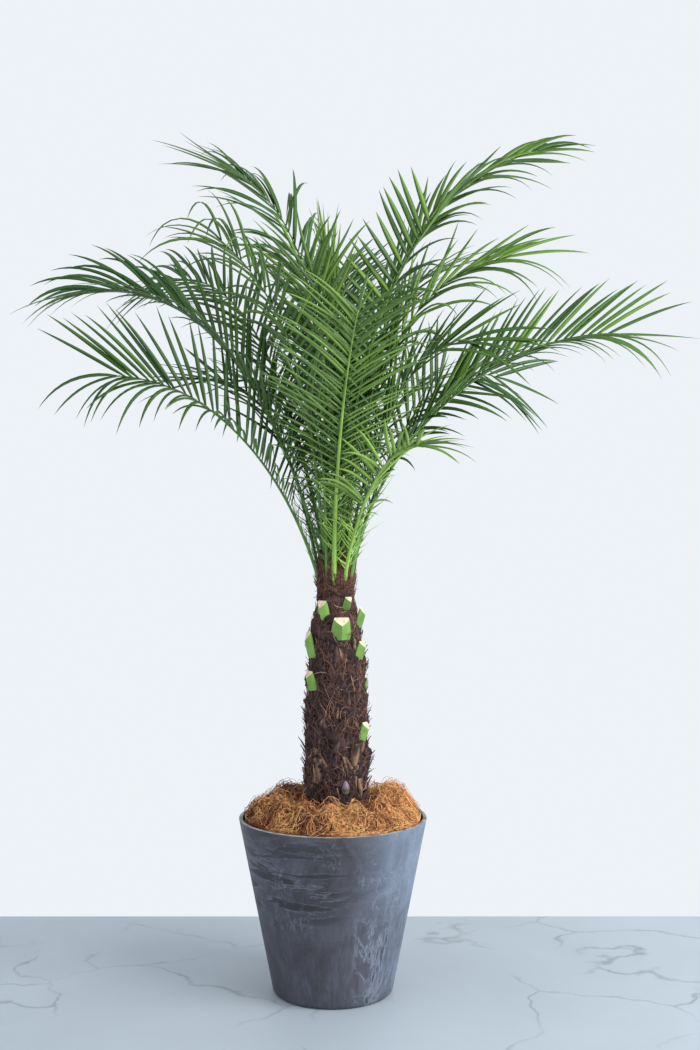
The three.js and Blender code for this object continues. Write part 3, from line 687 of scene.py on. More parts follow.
def mulch_height(x, y, planter, mulch):
    """Height of the heap at a point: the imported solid's rule."""
    edge = bore_radius(planter, MULCH_EDGE_Z) - GAP
    u = ease(np.hypot(x, y), edge, MULCH_CREST_R - edge)
    climb = np.sin(math.pi * np.minimum(1, u * HEAP_WIDEN) * HEAP_TURN) ** HEAP_POWER
    wave = np.sin(x * 62 + 1.1) * np.cos(y * 71 - 0.4)
    off = (x - TUFT_X) ** 2 + (y - TUFT_Y) ** 2
    tuft = TUFT_RISE * np.exp(-off / (2 * TUFT_SPREAD ** 2))
    return MULCH_EDGE_Z + mulch.rise * climb + WAVE_RISE * np.minimum(1, u * WAVE_EDGE) * wave + tuft


def lumpy_height(x, y, planter, mulch):
    """The heap with the tumbled lumps of loose fibre added."""
    fade = ease(np.hypot(x, y), bore_radius(planter, MULCH_EDGE_Z), -BED_LUMP_FADE)
    return mulch_height(x, y, planter, mulch) + fade * lumps(level(x, y), BED_LUMPS)


class PALM_OT_mulch(Operator):
    """Heap the coir: a lumpy bed under thousands of curly strands"""

    bl_idname = "palm.mulch"
    bl_label = "Coir mulch"

    def execute(self, context):
        planter = context.scene.palm_planter
        s = context.scene.palm_mulch
        bed = self.bed(planter, s)
        # The bed takes a darker tint of the shade colour: painted shade under the strands.
        finish = mottled("coir_bed", tinted(s.shade, 0.9), 0.95, 120, 0.5, bump=1.0, specular=0.15)
        place_piece(bed, "coir", ["coir_mulch"], finish)
        rng = np.random.default_rng(SEED)
        for name, share, low, high, clump in CURL_KINDS:
            piece = self.curls(f"coir_{name}", int(s.strands * share), planter, s, low, high, clump, rng)
            colour = getattr(s, name)
            finish = mottled(f"coir_{name}_finish", colour, 0.82, 160, 0.35, bump=0.2, specular=0.25)
            place_piece(piece, "coir", ["coir_mulch"], finish)
        return {"FINISHED"}

    def bed(self, planter, s):
        """The heap as one closed ring of mesh from the soil up to its edge and in to the trunk."""
        theta = around(BED_TURNS)
        foot = bore_radius(planter, SOIL_TOP) - GAP
        edge = bore_radius(planter, MULCH_EDGE_Z) - GAP
        slope = [blend(edge, MULCH_INNER_R, i / BED_RINGS) for i in range(BED_RINGS + 1)]
        radii = [foot, *slope, MULCH_INNER_R]
        points = []
        for i, radius in enumerate(radii):
            x, y = radius * np.cos(theta), radius * np.sin(theta)
            on_soil = i in (0, len(radii) - 1)
            z = np.full(BED_TURNS, SOIL_TOP + GAP) if on_soil else lumpy_height(x, y, planter, s)
            points.append(np.stack([x, y, z], axis=-1))
        closing = band(len(radii) - 1, 0, BED_TURNS)
        return joined("coir_bed", np.concatenate(points)[None], bands(len(radii), BED_TURNS) + closing)

    def curls(self, name, count, planter, s, low, high, clump, rng):
        """Curly strands that wander over the heap and lift off it, each kind denser where painted light and
        shade put it.
        """
        edge = bore_radius(planter, MULCH_EDGE_Z)
        tries = count * 3
        start_r = np.sqrt(rng.uniform(CURL_START_R ** 2, (edge - 0.004) ** 2, tries))
        start = rng.uniform(0, 2 * math.pi, tries)
        x, y = start_r * np.cos(start), start_r * np.sin(start)
        # The lit kinds are drawn to the lit clumps and to the right side, the shade kind away from them:
        # painted light and painted shade.
        painted_light_field = clump * (ripple(level(x, y), CLUMP_SIZE, CLUMP_SEED) + PAINTED_LIGHT_TO_RIGHT * x)
        chosen = np.argsort(painted_light_field + rng.normal(0, CLUMP_CHANCE, tries))[-count:]
        x, y = x[chosen], y[chosen]
        head = rng.uniform(0, 2 * math.pi, count)
        curl = rng.normal(0, CURL_TURN_SPREAD, count) + rng.choice([-CURL_TURN, CURL_TURN], count)
        step = s.strand_length / (CURL_STATIONS - 1) * rng.uniform(0.6, 1.3, count)
        lift = rng.uniform(low, high, count)
        wild = rng.random(count) < WILD_SHARE
        lift = np.where(wild, rng.uniform(*WILD_LIFT, count), lift)
        limit = np.where(wild, edge - 0.001, edge - 0.003)
        path = np.empty((count, CURL_STATIONS, 3))
        for i in range(CURL_STATIONS):
            r = np.maximum(np.hypot(x, y), 1e-6)
            inside = np.where(r < CURL_INNER_R, CURL_INNER_R / r, np.minimum(1, limit / r))
            x, y = x * inside, y * inside
            hump = lift * math.sin(math.pi * (0.12 + 0.78 * i / (CURL_STATIONS - 1)))
            shake = rng.normal(0, CURL_SHAKE, count)
            path[:, i] = np.stack([x, y, lumpy_height(x, y, planter, s) + hump + shake], axis=-1)
            head += curl + rng.normal(0, CURL_TURN_CHANGE, count)
            x, y = x + step * np.cos(head), y + step * np.sin(head)
        return hairs(name, path, s.strand_radius, (0.6, 1.25), 0.35, rng)


# ------------------------------------------------------------------ trunk

def trunk_radius(z):
    heights, radii = np.array(TRUNK_PROFILE).T
    return np.interp(z, heights, radii)


def trunk_centre(z):
    return TRUNK_X + TRUNK_LEAN_X * (z - SOIL_TOP) / (SEAT_TOP_Z - SOIL_TOP)


# Old leaf bases on the bark: the turn from one to the next, their least and most swell and half width,
# the shield's climb up to its ledge, the ledge's drop, and the sag of both at the sides.
LEAF_TURN = math.radians(137.5)
SHIELD_SWELL = (0.35, 1.25)
SHIELD_HALF = (0.015, 0.028)
SHIELD_FOOT, SHIELD_CLIMB = -0.042, 0.048
LEDGE_TOP, LEDGE_DROP = 0.013, 0.006
SHIELD_SAG = 0.006

# The bark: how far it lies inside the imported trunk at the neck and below, its mesh, and the height,
# size and seed of its lumps.
BARK_SUNK = (0.0070, 0.008)
BARK_TURNS = 168
BARK_ROWS = 190
BARK_LUMPS = ((0.0042, 0.045, 13), (0.0016, 0.014, 11), (0.0008, 0.006, 12))

# Kinds of fibre: share of the set number, and how they crowd upward (1 is even).
FIBRE_KINDS = (("dark", 0.95, 1.0), ("red", 0.62, 0.7), ("tan", 0.18, 0.6))
FIBRE_STATIONS = 8

# Fibres: where they start and may end, their length, how far off the bark they lie, how they spread, curl
# and bow, and the share of loose ones with the rise of their ends.
FIBRE_FOOT_Z = SOIL_TOP + 0.012
FIBRE_START_RISE = 0.472
FIBRE_TOP_Z = 0.824
FIBRE_LENGTH = (0.025, 0.075)
FIBRE_OFF = (-0.0008, 0.0024)
FIBRE_SPREAD, FIBRE_CURL, FIBRE_BOW = 0.75, 0.16, 0.0018
LOOSE_SHARE, LOOSE_RISE = 0.12, 0.011


def leaf_bases(s):
    """Azimuth and height of every old leaf base, in the spiral that a palm grows them in."""
    heights = np.arange(SOIL_TOP - 0.01, 0.79, s.base_rise)
    return LEAF_TURN * np.arange(len(heights)) + 0.7, heights


def bark_radius(theta, z, s):
    """Radius of the bark: overlapping shields that swell upward and end in a ledge."""
    radius = trunk_radius(z)
    relief = np.zeros(np.broadcast(theta, z).shape)
    rng = np.random.default_rng(SEED + 2)
    for azimuth, height in zip(*leaf_bases(s)):
        swell = rng.uniform(*SHIELD_SWELL)
        half = rng.uniform(*SHIELD_HALF)
        across = (np.mod(theta - azimuth + math.pi, 2 * math.pi) - math.pi) * np.maximum(radius, 0.02)
        up = z - height + SHIELD_SAG * np.abs(across) / half
        shape = np.clip(1 - (across / half) ** 2, 0, 1) ** 0.6
        climb = ease(up, SHIELD_FOOT, SHIELD_CLIMB) * ease(up, LEDGE_TOP, -LEDGE_DROP)
        relief = np.maximum(relief, swell * shape * climb)
    fade = ease(radius, 0.012, 0.03)
    neck = ease(z, 0.80, -0.09, low=0.15)
    return radius - blend(*BARK_SUNK, neck) * fade + s.relief * fade * neck * relief


def on_bark(theta, z, off, s):
    """Points that stand off the bark."""
    radius = bark_radius(theta, z, s) + off
    return np.stack([trunk_centre(z) + radius * np.cos(theta), radius * np.sin(theta), z], axis=-1)


class PALM_OT_trunk(Operator):
    """Grow the trunk: bark with the shields of old leaf bases under matted fibre"""

    bl_idname = "palm.trunk"
    bl_label = "Trunk"

    def execute(self, context):
        s = context.scene.palm_trunk
        finish = Finish("bark", 0.93, 0.25)
        grain = finish.noise(38, (1, 1, 0.35), detail=8, rough=0.7)
        finish.colour(finish.ramp(grain, (0.30, tinted(s.bark, 0.45)), (0.52, s.bark), (0.78, s.fibre_red)))
        finish.relief(finish.noise(95, (1, 1, 0.3), detail=8, rough=0.75, shift=2.2), 0.9, 0.003)
        place_piece(self.bark(s), "trunk", ["trunk"], finish)
        rng = np.random.default_rng(SEED + 3)
        for name, share, crowd in FIBRE_KINDS:
            piece = self.fibre(f"trunk_fibre_{name}", int(s.fibres * share), crowd, s, rng)
            colour = getattr(s, f"fibre_{name}")
            finish = mottled(f"fibre_{name}", colour, 0.85, 120, 0.4, specular=0.25)
            place_piece(piece, "trunk", ["trunk"], finish)
        return {"FINISHED"}

    def bark(self, s):
        """The bark as one closed tube, roughened all over."""
        heights = np.linspace(TRUNK_PROFILE[0][0], SEAT_TOP_Z, BARK_ROWS)
        z = np.repeat(heights[:, None], BARK_TURNS, axis=1)
        angle = np.repeat(around(BARK_TURNS)[None], BARK_ROWS, axis=0)
        rough = lumps(on_bark(angle, z, 0.0, s), BARK_LUMPS) * ease(trunk_radius(z), 0.010, 0.03)
        points = on_bark(angle, z, rough, s).reshape(1, -1, 3)
        return joined("trunk_bark", points, tube_faces(BARK_ROWS, BARK_TURNS))

    def fibre(self, name, count, crowd, s, rng):
        """Fibres in crossing layers over the bark, with loose ends: a low crowd packs them upward."""
        z = FIBRE_FOOT_Z + FIBRE_START_RISE * rng.random(count) ** crowd
        theta = rng.uniform(0, 2 * math.pi, count)
        head = rng.normal(math.pi / 2, FIBRE_SPREAD, count)
        step = rng.uniform(*FIBRE_LENGTH, count) / (FIBRE_STATIONS - 1)
        curl = rng.normal(0, FIBRE_CURL, count)
        loose = rng.random(count) < LOOSE_SHARE
        off = rng.uniform(*FIBRE_OFF, count)
        path = np.empty((count, FIBRE_STATIONS, 3))
        for i, t in enumerate(np.linspace(0, 1, FIBRE_STATIONS)):
            neck = ease(z, 0.82, -0.12, low=0.3)
            stand = np.where(loose, LOOSE_RISE * t ** 2, FIBRE_BOW * math.sin(math.pi * t)) * neck
            path[:, i] = on_bark(theta, z, off * neck + stand, s)
            theta = theta + step * np.cos(head) / np.maximum(trunk_radius(z), 0.014)
            z = np.clip(z + step * np.sin(head), FIBRE_FOOT_Z, FIBRE_TOP_Z)
            head = head + curl + rng.normal(0, FIBRE_CURL, count)
        return hairs(name, path, s.fibre_radius, (0.6, 1.4), 0.3, rng)


# A cut stem, one unit wide, deep and high: the keel and back of its foot, the rise and widening of each
# step and how far each leans out, and where and how the knife went through.
KEEL_DEPTH, KEEL_POWER, BACK_DEPTH = 0.42, 0.85, -0.10
STEM_STEPS = ((0.16, 1.03), (0.2, 0.99), (0.24, 0.94), (0.22, 0.90), (0.18, 0.88))
STEM_LEAN = 0.075
CUT_PLACE = (0, 0.3, 0.97)
CUT_SLOPE = Vector((0, 0.9, 1)).normalized()

# Cut stems on the trunk: their depth, how far their feet sink into it, and how they lean.
STUB_DEPTH = 0.027
STUB_SUNK = 0.007
STUB_LEAN = math.radians(-3)

# Least and most of what the husk tables give, for husks thrown by chance.
HUSK_RANGES = ((SOIL_TOP + 0.015, 0.700), (0, 360), (0.012, 0.036), (0.002, 0.009), (-0.2, 0.75), (-0.7, 0.7))
HUSK_STATIONS = 6
HUSK_THICK = 0.0022
HUSK_SECTION = ((1, -0.4), (0, 1), (-1, -0.4), (0, -1))


def cut_stem(name):
    """A leaf stem cut short, one unit wide, deep and high, drawn up from a keeled shield."""
    clear_selection()
    bpy.ops.mesh.primitive_circle_add(vertices=16, radius=0.5, fill_type="NGON", location=(0, 0, 0))
    stem = bpy.context.object
    stem.name = name
    for vertex in stem.data.vertices:
        keel = (1 - abs(vertex.co.x * 2)) ** KEEL_POWER * KEEL_DEPTH
        vertex.co.y = BACK_DEPTH if vertex.co.y < 0 else keel
    bpy.ops.object.mode_set(mode="EDIT")
    bpy.ops.mesh.select_all(action="SELECT")
    for rise, wider in STEM_STEPS:
        bpy.ops.mesh.extrude_region_move(TRANSFORM_OT_translate={"value": (0, STEM_LEAN, rise)})
        bpy.ops.transform.resize(value=(wider, 1.0, 1), center_override=(0, 0, 0))
    bpy.ops.mesh.select_all(action="SELECT")
    bpy.ops.mesh.bisect(plane_co=CUT_PLACE, plane_no=CUT_SLOPE, use_fill=True, clear_outer=True)
    face_outwards()
    for face in stem.data.polygons:
        face.material_index = int(face.normal.dot(CUT_SLOPE) > 0.99)
    return stem


def set_on_trunk(stem, height, azimuth, width, length):
    """A copy of a stem, stood on the bark at a height and azimuth."""
    copy = stem.copy()
    copy.data = stem.data.copy()
    bpy.context.scene.collection.objects.link(copy)
    turn = math.radians(azimuth)
    out = Vector((math.cos(turn), math.sin(turn), 0))
    side = Vector((math.sin(turn), -math.cos(turn), 0))
    foot = Vector((float(trunk_centre(height)), 0, height - length / 2))
    foot += out * (float(trunk_radius(height)) - STUB_SUNK)
    stand = Matrix(((side.x, out.x, 0, foot.x), (side.y, out.y, 0, foot.y), (side.z, out.z, 1, foot.z),
                    (0, 0, 0, 1)))
    size = Matrix.Diagonal((width, STUB_DEPTH, length, 1))
    copy.data.transform(stand @ Matrix.Rotation(STUB_LEAN, 4, "X") @ size)
    return copy


def join_pieces(pieces, name):
    clear_selection()
    for piece in pieces:
        piece.select_set(True)
    bpy.context.view_layer.objects.active = pieces[0]
    bpy.ops.object.join()
    pieces[0].name = name
    bpy.ops.object.mode_set(mode="EDIT")
    face_outwards()
    bpy.ops.object.shade_smooth_by_angle(angle=math.radians(35))
    return pieces[0]


class PALM_OT_stems(Operator):
    """Set the cut leaf stems, the dry old leaf bases and a side bud on the trunk"""

    bl_idname = "palm.stems"
    bl_label = "Cut leaf stems"

    def execute(self, context):
        s = context.scene.palm_trunk
        self.stubs()
        self.husks(s)
        self.bud(s)
        return {"FINISHED"}

    def stubs(self):
        """The cut leaf stems: green skin and a dry cream cut face."""
        skin = Finish("stem_green", 0.42, 0.45)
        streak = skin.noise(24, (1, 1, 0.5), detail=5)
        skin.colour(skin.ramp(streak, (0.32, (0.105, 0.225, 0.035)), (0.62, (0.235, 0.43, 0.085)),
                              (0.84, (0.33, 0.44, 0.12))))
        face = Finish("stem_cut", 0.8, 0.3)
        pith = face.noise(160, detail=6)
        face.colour(face.ramp(pith, (0.35, (0.62, 0.42, 0.27)), (0.6, (0.86, 0.74, 0.55))))
        stem = cut_stem("cut_stem")
        for finish in (skin, face):
            stem.data.materials.append(finish.material)
        piece = join_pieces([set_on_trunk(stem, *stub) for stub in STUBS], "cut_leaf_stems")
        bpy.data.objects.remove(stem)
        place_piece(piece, "stub", [f"leaf_stub_{i + 1:02d}" for i in range(len(STUBS))])

    def husks(self, s):
        """The dry old leaf bases, dark and tan."""
        rng = np.random.default_rng(SEED + 5)
        for name, share, count, by_hand in HUSK_KINDS:
            colour = tinted(getattr(s, f"fibre_{name}"), share)
            strewn = [rng.uniform(low, high, count) for low, high in HUSK_RANGES] + [np.zeros(count)]
            rows = np.concatenate([np.stack(strewn, axis=-1), np.array(by_hand)])
            piece = self.shards(f"old_leaf_bases_{name}", rows, s, rng)
            husk = Finish(f"old_base_{name}", 0.9, 0.25)
            grain = husk.noise(40, (1, 1, 0.5), detail=7, rough=0.7)
            husk.colour(husk.ramp(grain, (0.36, tinted(s.bark, 0.8)), (0.50, colour),
                                  (0.72, tinted(colour, 1.5))))
            husk.relief(husk.noise(140, (1, 1, 0.3), detail=6), 0.8, 0.002)
            place_piece(piece, "trunk", ["trunk"], husk)

    def shards(self, name, rows, s, rng):
        """Dry, torn remains of old leaf bases: blades that lean off the bark at their tips."""
        count = len(rows)
        z, theta, length, half, lean, slant, widest = rows.T
        stand = ease(half, 0, 0.008) * 0.0045 - 0.002
        theta = np.radians(theta)
        ring = np.empty((count, HUSK_STATIONS, len(HUSK_SECTION), 3))
        for i, t in enumerate(np.linspace(0, 1, HUSK_STATIONS)):
            up = z + length * t
            turn = theta + slant * length * t / trunk_radius(up)
            off = stand + lean * length * t ** 2 * 0.6 + rng.normal(0, 0.0006, count)
            wide = half * (1 - 0.85 * np.abs(t - widest) ** 1.6) * rng.uniform(0.75, 1.2, count)
            thick = HUSK_THICK * (1 - 0.6 * t)
            for k, (across, out) in enumerate(HUSK_SECTION):
                side = turn + across * wide / trunk_radius(up)
                ring[:, i, k] = on_bark(side, up, off + out * thick, s)
        faces = tube_faces(HUSK_STATIONS, len(HUSK_SECTION))
        return joined(name, ring.reshape(count, -1, 3), faces)

    def bud(self, s):
        """A plump young bud, purple over a green foot, that breaks through the fibre over the coir."""
        clear_selection()
        bpy.ops.mesh.primitive_uv_sphere_add(segments=20, ring_count=12, radius=0.5, location=(0, 0, 0))
        bud = bpy.context.object
        bud.name = "side_bud"
        for vertex in bud.data.vertices:
            vertex.co.z += 0.5
            waist = 1 - 0.75 * max(0.0, vertex.co.z - 0.35)
            vertex.co.x *= waist
            vertex.co.y *= waist
        bpy.ops.object.shade_smooth()
        turn = math.radians(BUD_AZIMUTH)
        place = on_bark(np.array([turn]), np.array([BUD_Z]), 0.003, s)[0]
        size = Matrix.Diagonal((BUD_WIDTH, BUD_WIDTH, BUD_LENGTH, 1))
        bud.data.transform(Matrix.Translation(Vector(place.tolist())) @ Matrix.Rotation(turn, 4, "Z") @ size)
        skin = Finish("bud_skin", 0.45, 0.4)
        rise = skin.span(BUD_Z, BUD_Z + 0.024)
        skin.colour(skin.ramp(rise, (0.0, (0.26, 0.33, 0.10)), (0.30, (0.075, 0.045, 0.075)),
                              (0.95, (0.21, 0.16, 0.20))))
        place_piece(bud, "trunk", ["trunk"], skin)


# ------------------------------------------------------------------ fronds

def heading(from_vertical, azimuth):
    v = math.radians(from_vertical)
    return np.array([math.sin(v) * math.cos(azimuth), math.sin(v) * math.sin(azimuth), math.cos(v)])


class Rib:
    """A frond's rib: a cubic curve from the crown seat to the tip, read by share of its length."""

    def __init__(self, frond):
        self.frond = frond
        turn = math.radians(frond["azimuth"])
        end = math.radians(frond["azimuth"] + frond["sway"])
        seat = frond["seat"]
        seat_z = SEAT_TOP_Z - max(0.0, seat - SEAT_TOP_R) * SEAT_SLOPE
        base = np.array([AXIS_X + seat * math.cos(turn), seat * math.sin(turn), seat_z])
        reach = frond["reach"]
        tip = np.array([AXIS_X + reach * math.cos(end), reach * math.sin(end), seat_z + frond["rise"]])
        handle = RIB_HANDLE * np.linalg.norm(tip - base)
        first = base + handle * heading(frond["launch"], turn)
        last = tip - handle * heading(frond["arrive"], end)
        t = np.linspace(0, 1, 201)[:, None]
        u = 1 - t
        self.points = u ** 3 * base + 3 * u ** 2 * t * first + 3 * u * t ** 2 * last + t ** 3 * tip
        self.ways = unit(u ** 2 * (first - base) + 2 * u * t * (last - first) + t ** 2 * (tip - last))
        steps = np.linalg.norm(np.diff(self.points, axis=0), axis=1)
        run = np.concatenate([[0], np.cumsum(steps)])
        self.length = run[-1]
        self.shares = run / run[-1]

    def read(self, s):
        """Place, direction, side and upper normal at shares of the rib's length."""
        s = np.atleast_1d(s)
        place = np.stack([np.interp(s, self.shares, self.points[:, k]) for k in range(3)], axis=-1)
        along = unit(np.stack([np.interp(s, self.shares, self.ways[:, k]) for k in range(3)], axis=-1))
        azimuth = np.radians(self.frond["azimuth"] + self.frond["sway"] * s)
        across = np.stack([-np.sin(azimuth), np.cos(azimuth), np.zeros_like(s)], axis=-1)
        normal = unit(np.cross(along, across))
        side = unit(np.cross(normal, along))
        roll = (math.radians(self.frond["roll"]) * s * s * (3 - 2 * s))[:, None]
        turned = side * np.cos(roll) + normal * np.sin(roll)
        return place, along, turned, normal * np.cos(roll) - side * np.sin(roll)

    def width(self, s):
        seat = self.frond["seat"]
        outer = blend(RIB_INNER_WIDTH, RIB_OUTER_WIDTH, seat / FROND_RINGS[0][0]) * self.frond["stem"]
        base = RIB_SPEAR_WIDTH if seat == 0 else outer
        return blend(base, RIB_TIP_WIDTH, np.minimum(1, s * 1.05) ** 0.62)


# Half-round section of a rib, in shares of its half width and of its depth, and the flare at its foot.
RIB_SECTION = np.array([(1, 0.40), (0.55, 0.28), (0, 0.20), (-0.55, 0.28), (-1, 0.40), (-0.80, -0.15),
                        (-0.42, -0.52), (0, -0.62), (0.42, -0.52), (0.80, -0.15)])
RIB_STATIONS = 44
RIB_DEPTH = 0.72
RIB_FLARE = 0.55
RIB_FLARE_RUN = 0.05


def rib_points(rib):
    """Corners of the rib's sections, closer together towards its foot."""
    s = np.linspace(0, 1, RIB_STATIONS) ** 1.15
    place, along, side, normal = rib.read(s)
    place = place.copy()
    place[0] -= along[0] * RIB_SUNK
    width = rib.width(s) * (1 + RIB_FLARE * np.exp(-s / RIB_FLARE_RUN))
    depth = rib.width(s) * RIB_DEPTH
    x = RIB_SECTION[None, :, 0, None] * width[:, None, None] / 2
    y = RIB_SECTION[None, :, 1, None] * depth[:, None, None]
    return (place[:, None] + x * side[:, None] + y * normal[:, None]).reshape(-1, 3)


def along_blade(value, q):
    """A number, or a pair blended from the foot to the tip of the blade."""
    return blend(*value, q) if isinstance(value, tuple) else np.full(len(q), value)


def leaflet_lines(rib, settings, rng):
    """Centre lines of a frond's leaflets, with the across and upper directions of their blades."""
    frond, wild = rib.frond, rib.frond["wild"]
    pairs = max(8, round(rib.length * (LEAF_END - LEAF_START) / settings.leaf_spacing / frond["gap"]))
    q = np.concatenate([np.arange(pairs) / pairs, (np.arange(pairs) + 0.45) / pairs, [1.0]])
    hand = np.concatenate([-np.ones(pairs), np.ones(pairs), [0.0]])
    count = len(q)
    q = np.clip(q + rng.normal(0, 0.22 * wild / pairs, count) * (hand != 0), 0, 1)
    foot = np.clip(1 - q / LOWEST_SHARE, 0, 1)
    s = blend(LEAF_START, LEAF_END, q)
    place, along, side, normal = rib.read(s)
    opening, limp = (np.where(hand < 0, along_blade(one, q), along_blade(other, q))
                     for one, other in zip(frond["right"], frond["left"]))
    drift = 5 * wild * np.sin(2 * math.pi * (q * 2.6 + hand * 0.3 + rng.random()))
    angle = blend(*LEAF_ANGLES, q ** 1.6) * opening + drift + rng.normal(0, 3.5 * wild, count)
    angle = np.radians(angle) * (hand != 0)
    rise = np.radians(blend(*frond["vee"], q) + drift + rng.normal(0, 7 * wild, count))[:, None]
    out = side * hand[:, None] * np.cos(rise) + normal * np.sin(rise)
    way = along * np.cos(angle)[:, None] + out * np.sin(angle)[:, None]
    length = frond["leaf"] * (1 - LOWEST_SHORTER * foot) * rng.uniform(0.86, 1.04, count)
    across = np.where(hand == 0, 0, np.sin(angle))[:, None] * along - np.cos(angle)[:, None] * out
    across = np.where(hand[:, None] == 0, side, across * -np.where(hand == 0, 1, hand)[:, None])
    t = np.linspace(0, 1, LEAF_STATIONS + 1)
    droop = settings.droop * limp * (1 + LOWEST_LIMPER * foot) * rng.uniform(0.4, 1.5, count)
    sway = rng.normal(0, 0.09 * wild, (count, 3))
    centre = np.empty((count, LEAF_STATIONS + 1, 3))
    centre[:, 0] = place + way * (rib.width(s) * 0.25)[:, None]
    ways = np.empty_like(centre)
    for i, share in enumerate(t):
        bend = share ** 1.8
        ways[:, i] = unit(way + sway * bend - np.array([0, 0, 1.0]) * (droop * bend)[:, None])
        if i:
            step = (length / LEAF_STATIONS / 2)[:, None]
            centre[:, i] = centre[:, i - 1] + (ways[:, i - 1] + ways[:, i]) * step
    twist = np.radians(rng.normal(0, 12, count))[:, None, None] * t[None, :, None]
    flat = unit(across[:, None] - ways * np.sum(across[:, None] * ways, axis=-1, keepdims=True))
    upper = np.cross(ways, flat)
    flat, upper = flat * np.cos(twist) + upper * np.sin(twist), upper * np.cos(twist) - flat * np.sin(twist)
    width = settings.leaf_width * frond["wide"] * (1 - LOWEST_NARROWER * foot)
    width = width * rng.uniform(0.85, 1.12, count)
    return centre, flat, upper, width


def leaflet_faces(stations):
    """Faces of one folded blade, and the shade of each: 0 above, 1 underneath."""
    last, tip = 4 * (stations - 1), 4 * stations
    tips = [(last + k, last + (k + 1) % 4, tip) for k in range(4)]
    return [(3, 2, 1, 0), *bands(stations, 4), *tips], [1] + [0, 0, 1, 1] * stations


def leaflet_points(centre, flat, upper, wide, settings):
    """Corners of the folded blades: right edge, upper fold, left edge, under fold, then the tip."""
    stations = centre.shape[1] - 1
    t = np.linspace(0, 1, stations + 1)[:-1]
    shape = np.minimum(1, 0.40 + 0.60 * t / 0.14) * (1 - t ** 2.8)
    width = wide[:, None] * shape[None]
    fold = np.radians(blend(*LEAF_FOLD, t))[None, :]
    reach, rise = (width / 2 * np.cos(fold))[..., None], (width / 2 * np.sin(fold))[..., None]
    thick = settings.leaf_thick * (1 - 0.6 * t)[None, :, None]
    c, f, u = centre[:, :-1], flat[:, :-1], upper[:, :-1]
    ring = np.stack([c + f * reach + u * rise, c + u * thick * 0.5, c - f * reach + u * rise,
                     c - u * thick * 0.5], axis=2)
    return np.concatenate([ring.reshape(len(c), -1, 3), centre[:, -1:]], axis=1)


# Leaflet tones, each with its upper colour and its paler under colour. The deep tone goes to the fronds on
# the left and in the core and the lighter tones to those at the front and right, where the light falls:
# partly the leaves' own spread of colour, partly painted shade and light. Fresh goes to the young spear and a
# small right frond.
TONES = (
    ("deep", (0.046, 0.118, 0.026), (0.108, 0.195, 0.070)),
    ("mid", (0.070, 0.162, 0.024), (0.130, 0.240, 0.060)),
    ("light", (0.108, 0.222, 0.026), (0.168, 0.300, 0.058)),
    ("fresh", (0.180, 0.335, 0.040), (0.225, 0.390, 0.075)),
)


class PALM_OT_leaflets(Operator):
    """Grow the leaflets of every frond, joined by tone"""

    bl_idname = "palm.leaflets"
    bl_label = "Leaflets"

    def execute(self, context):
        s = context.scene.palm_fronds
        rng = np.random.default_rng(SEED + 7)
        by_tone = [[] for _ in TONES]
        nodes = [[] for _ in TONES]
        for frond in FRONDS:
            rib = Rib(frond)
            points = leaflet_points(*leaflet_lines(rib, s, rng), s)
            tone = frond["tone"] + rng.choice([-1, -0.5, 0, 0.5, 1], len(points))
            tone = np.clip(np.floor(tone), 0, 3 if frond["tone"] == 3 else 2)
            for i in range(len(TONES)):
                if np.any(tone == i):
                    by_tone[i].append(points[tone == i])
                    nodes[i].append(f"frond_{frond['name']}")
        faces, shades = leaflet_faces(LEAF_STATIONS)
        for i, (name, upper_colour, under_colour) in enumerate(TONES):
            piece = joined(f"leaflets_{name}", np.concatenate(by_tone[i]), faces, shades)
            top = mottled(f"leaf_{name}", upper_colour, 0.42, 14, 0.22, bump=0.15, specular=0.35)
            under = mottled(f"leaf_{name}_under", under_colour, 0.55, 14, 0.16, bump=0.15, specular=0.35)
            slot = "frond_dark" if i == 0 else "frond_light"
            place_piece(piece, slot, sorted(nodes[i]), top, under)
        return {"FINISHED"}


# Rib and spine greens: light for the fronds of the two lighter tones, at the front and right where the light
# falls, dark for the rest: lit and shaded copies of one green, painted light and shade.
RIB_COLOURS = (("dark", (0.100, 0.215, 0.040)), ("light", (0.27, 0.46, 0.08)))

# Spines: number on each stem, where along it they grow, radius at the foot, and their upward bow.
SPINES = 30
SPINE_SPAN = (0.07, 0.30)
SPINE_STATIONS = 5
SPINE_RADIUS = 0.0013
SPINE_BOW = np.array([0, 0, 0.12])


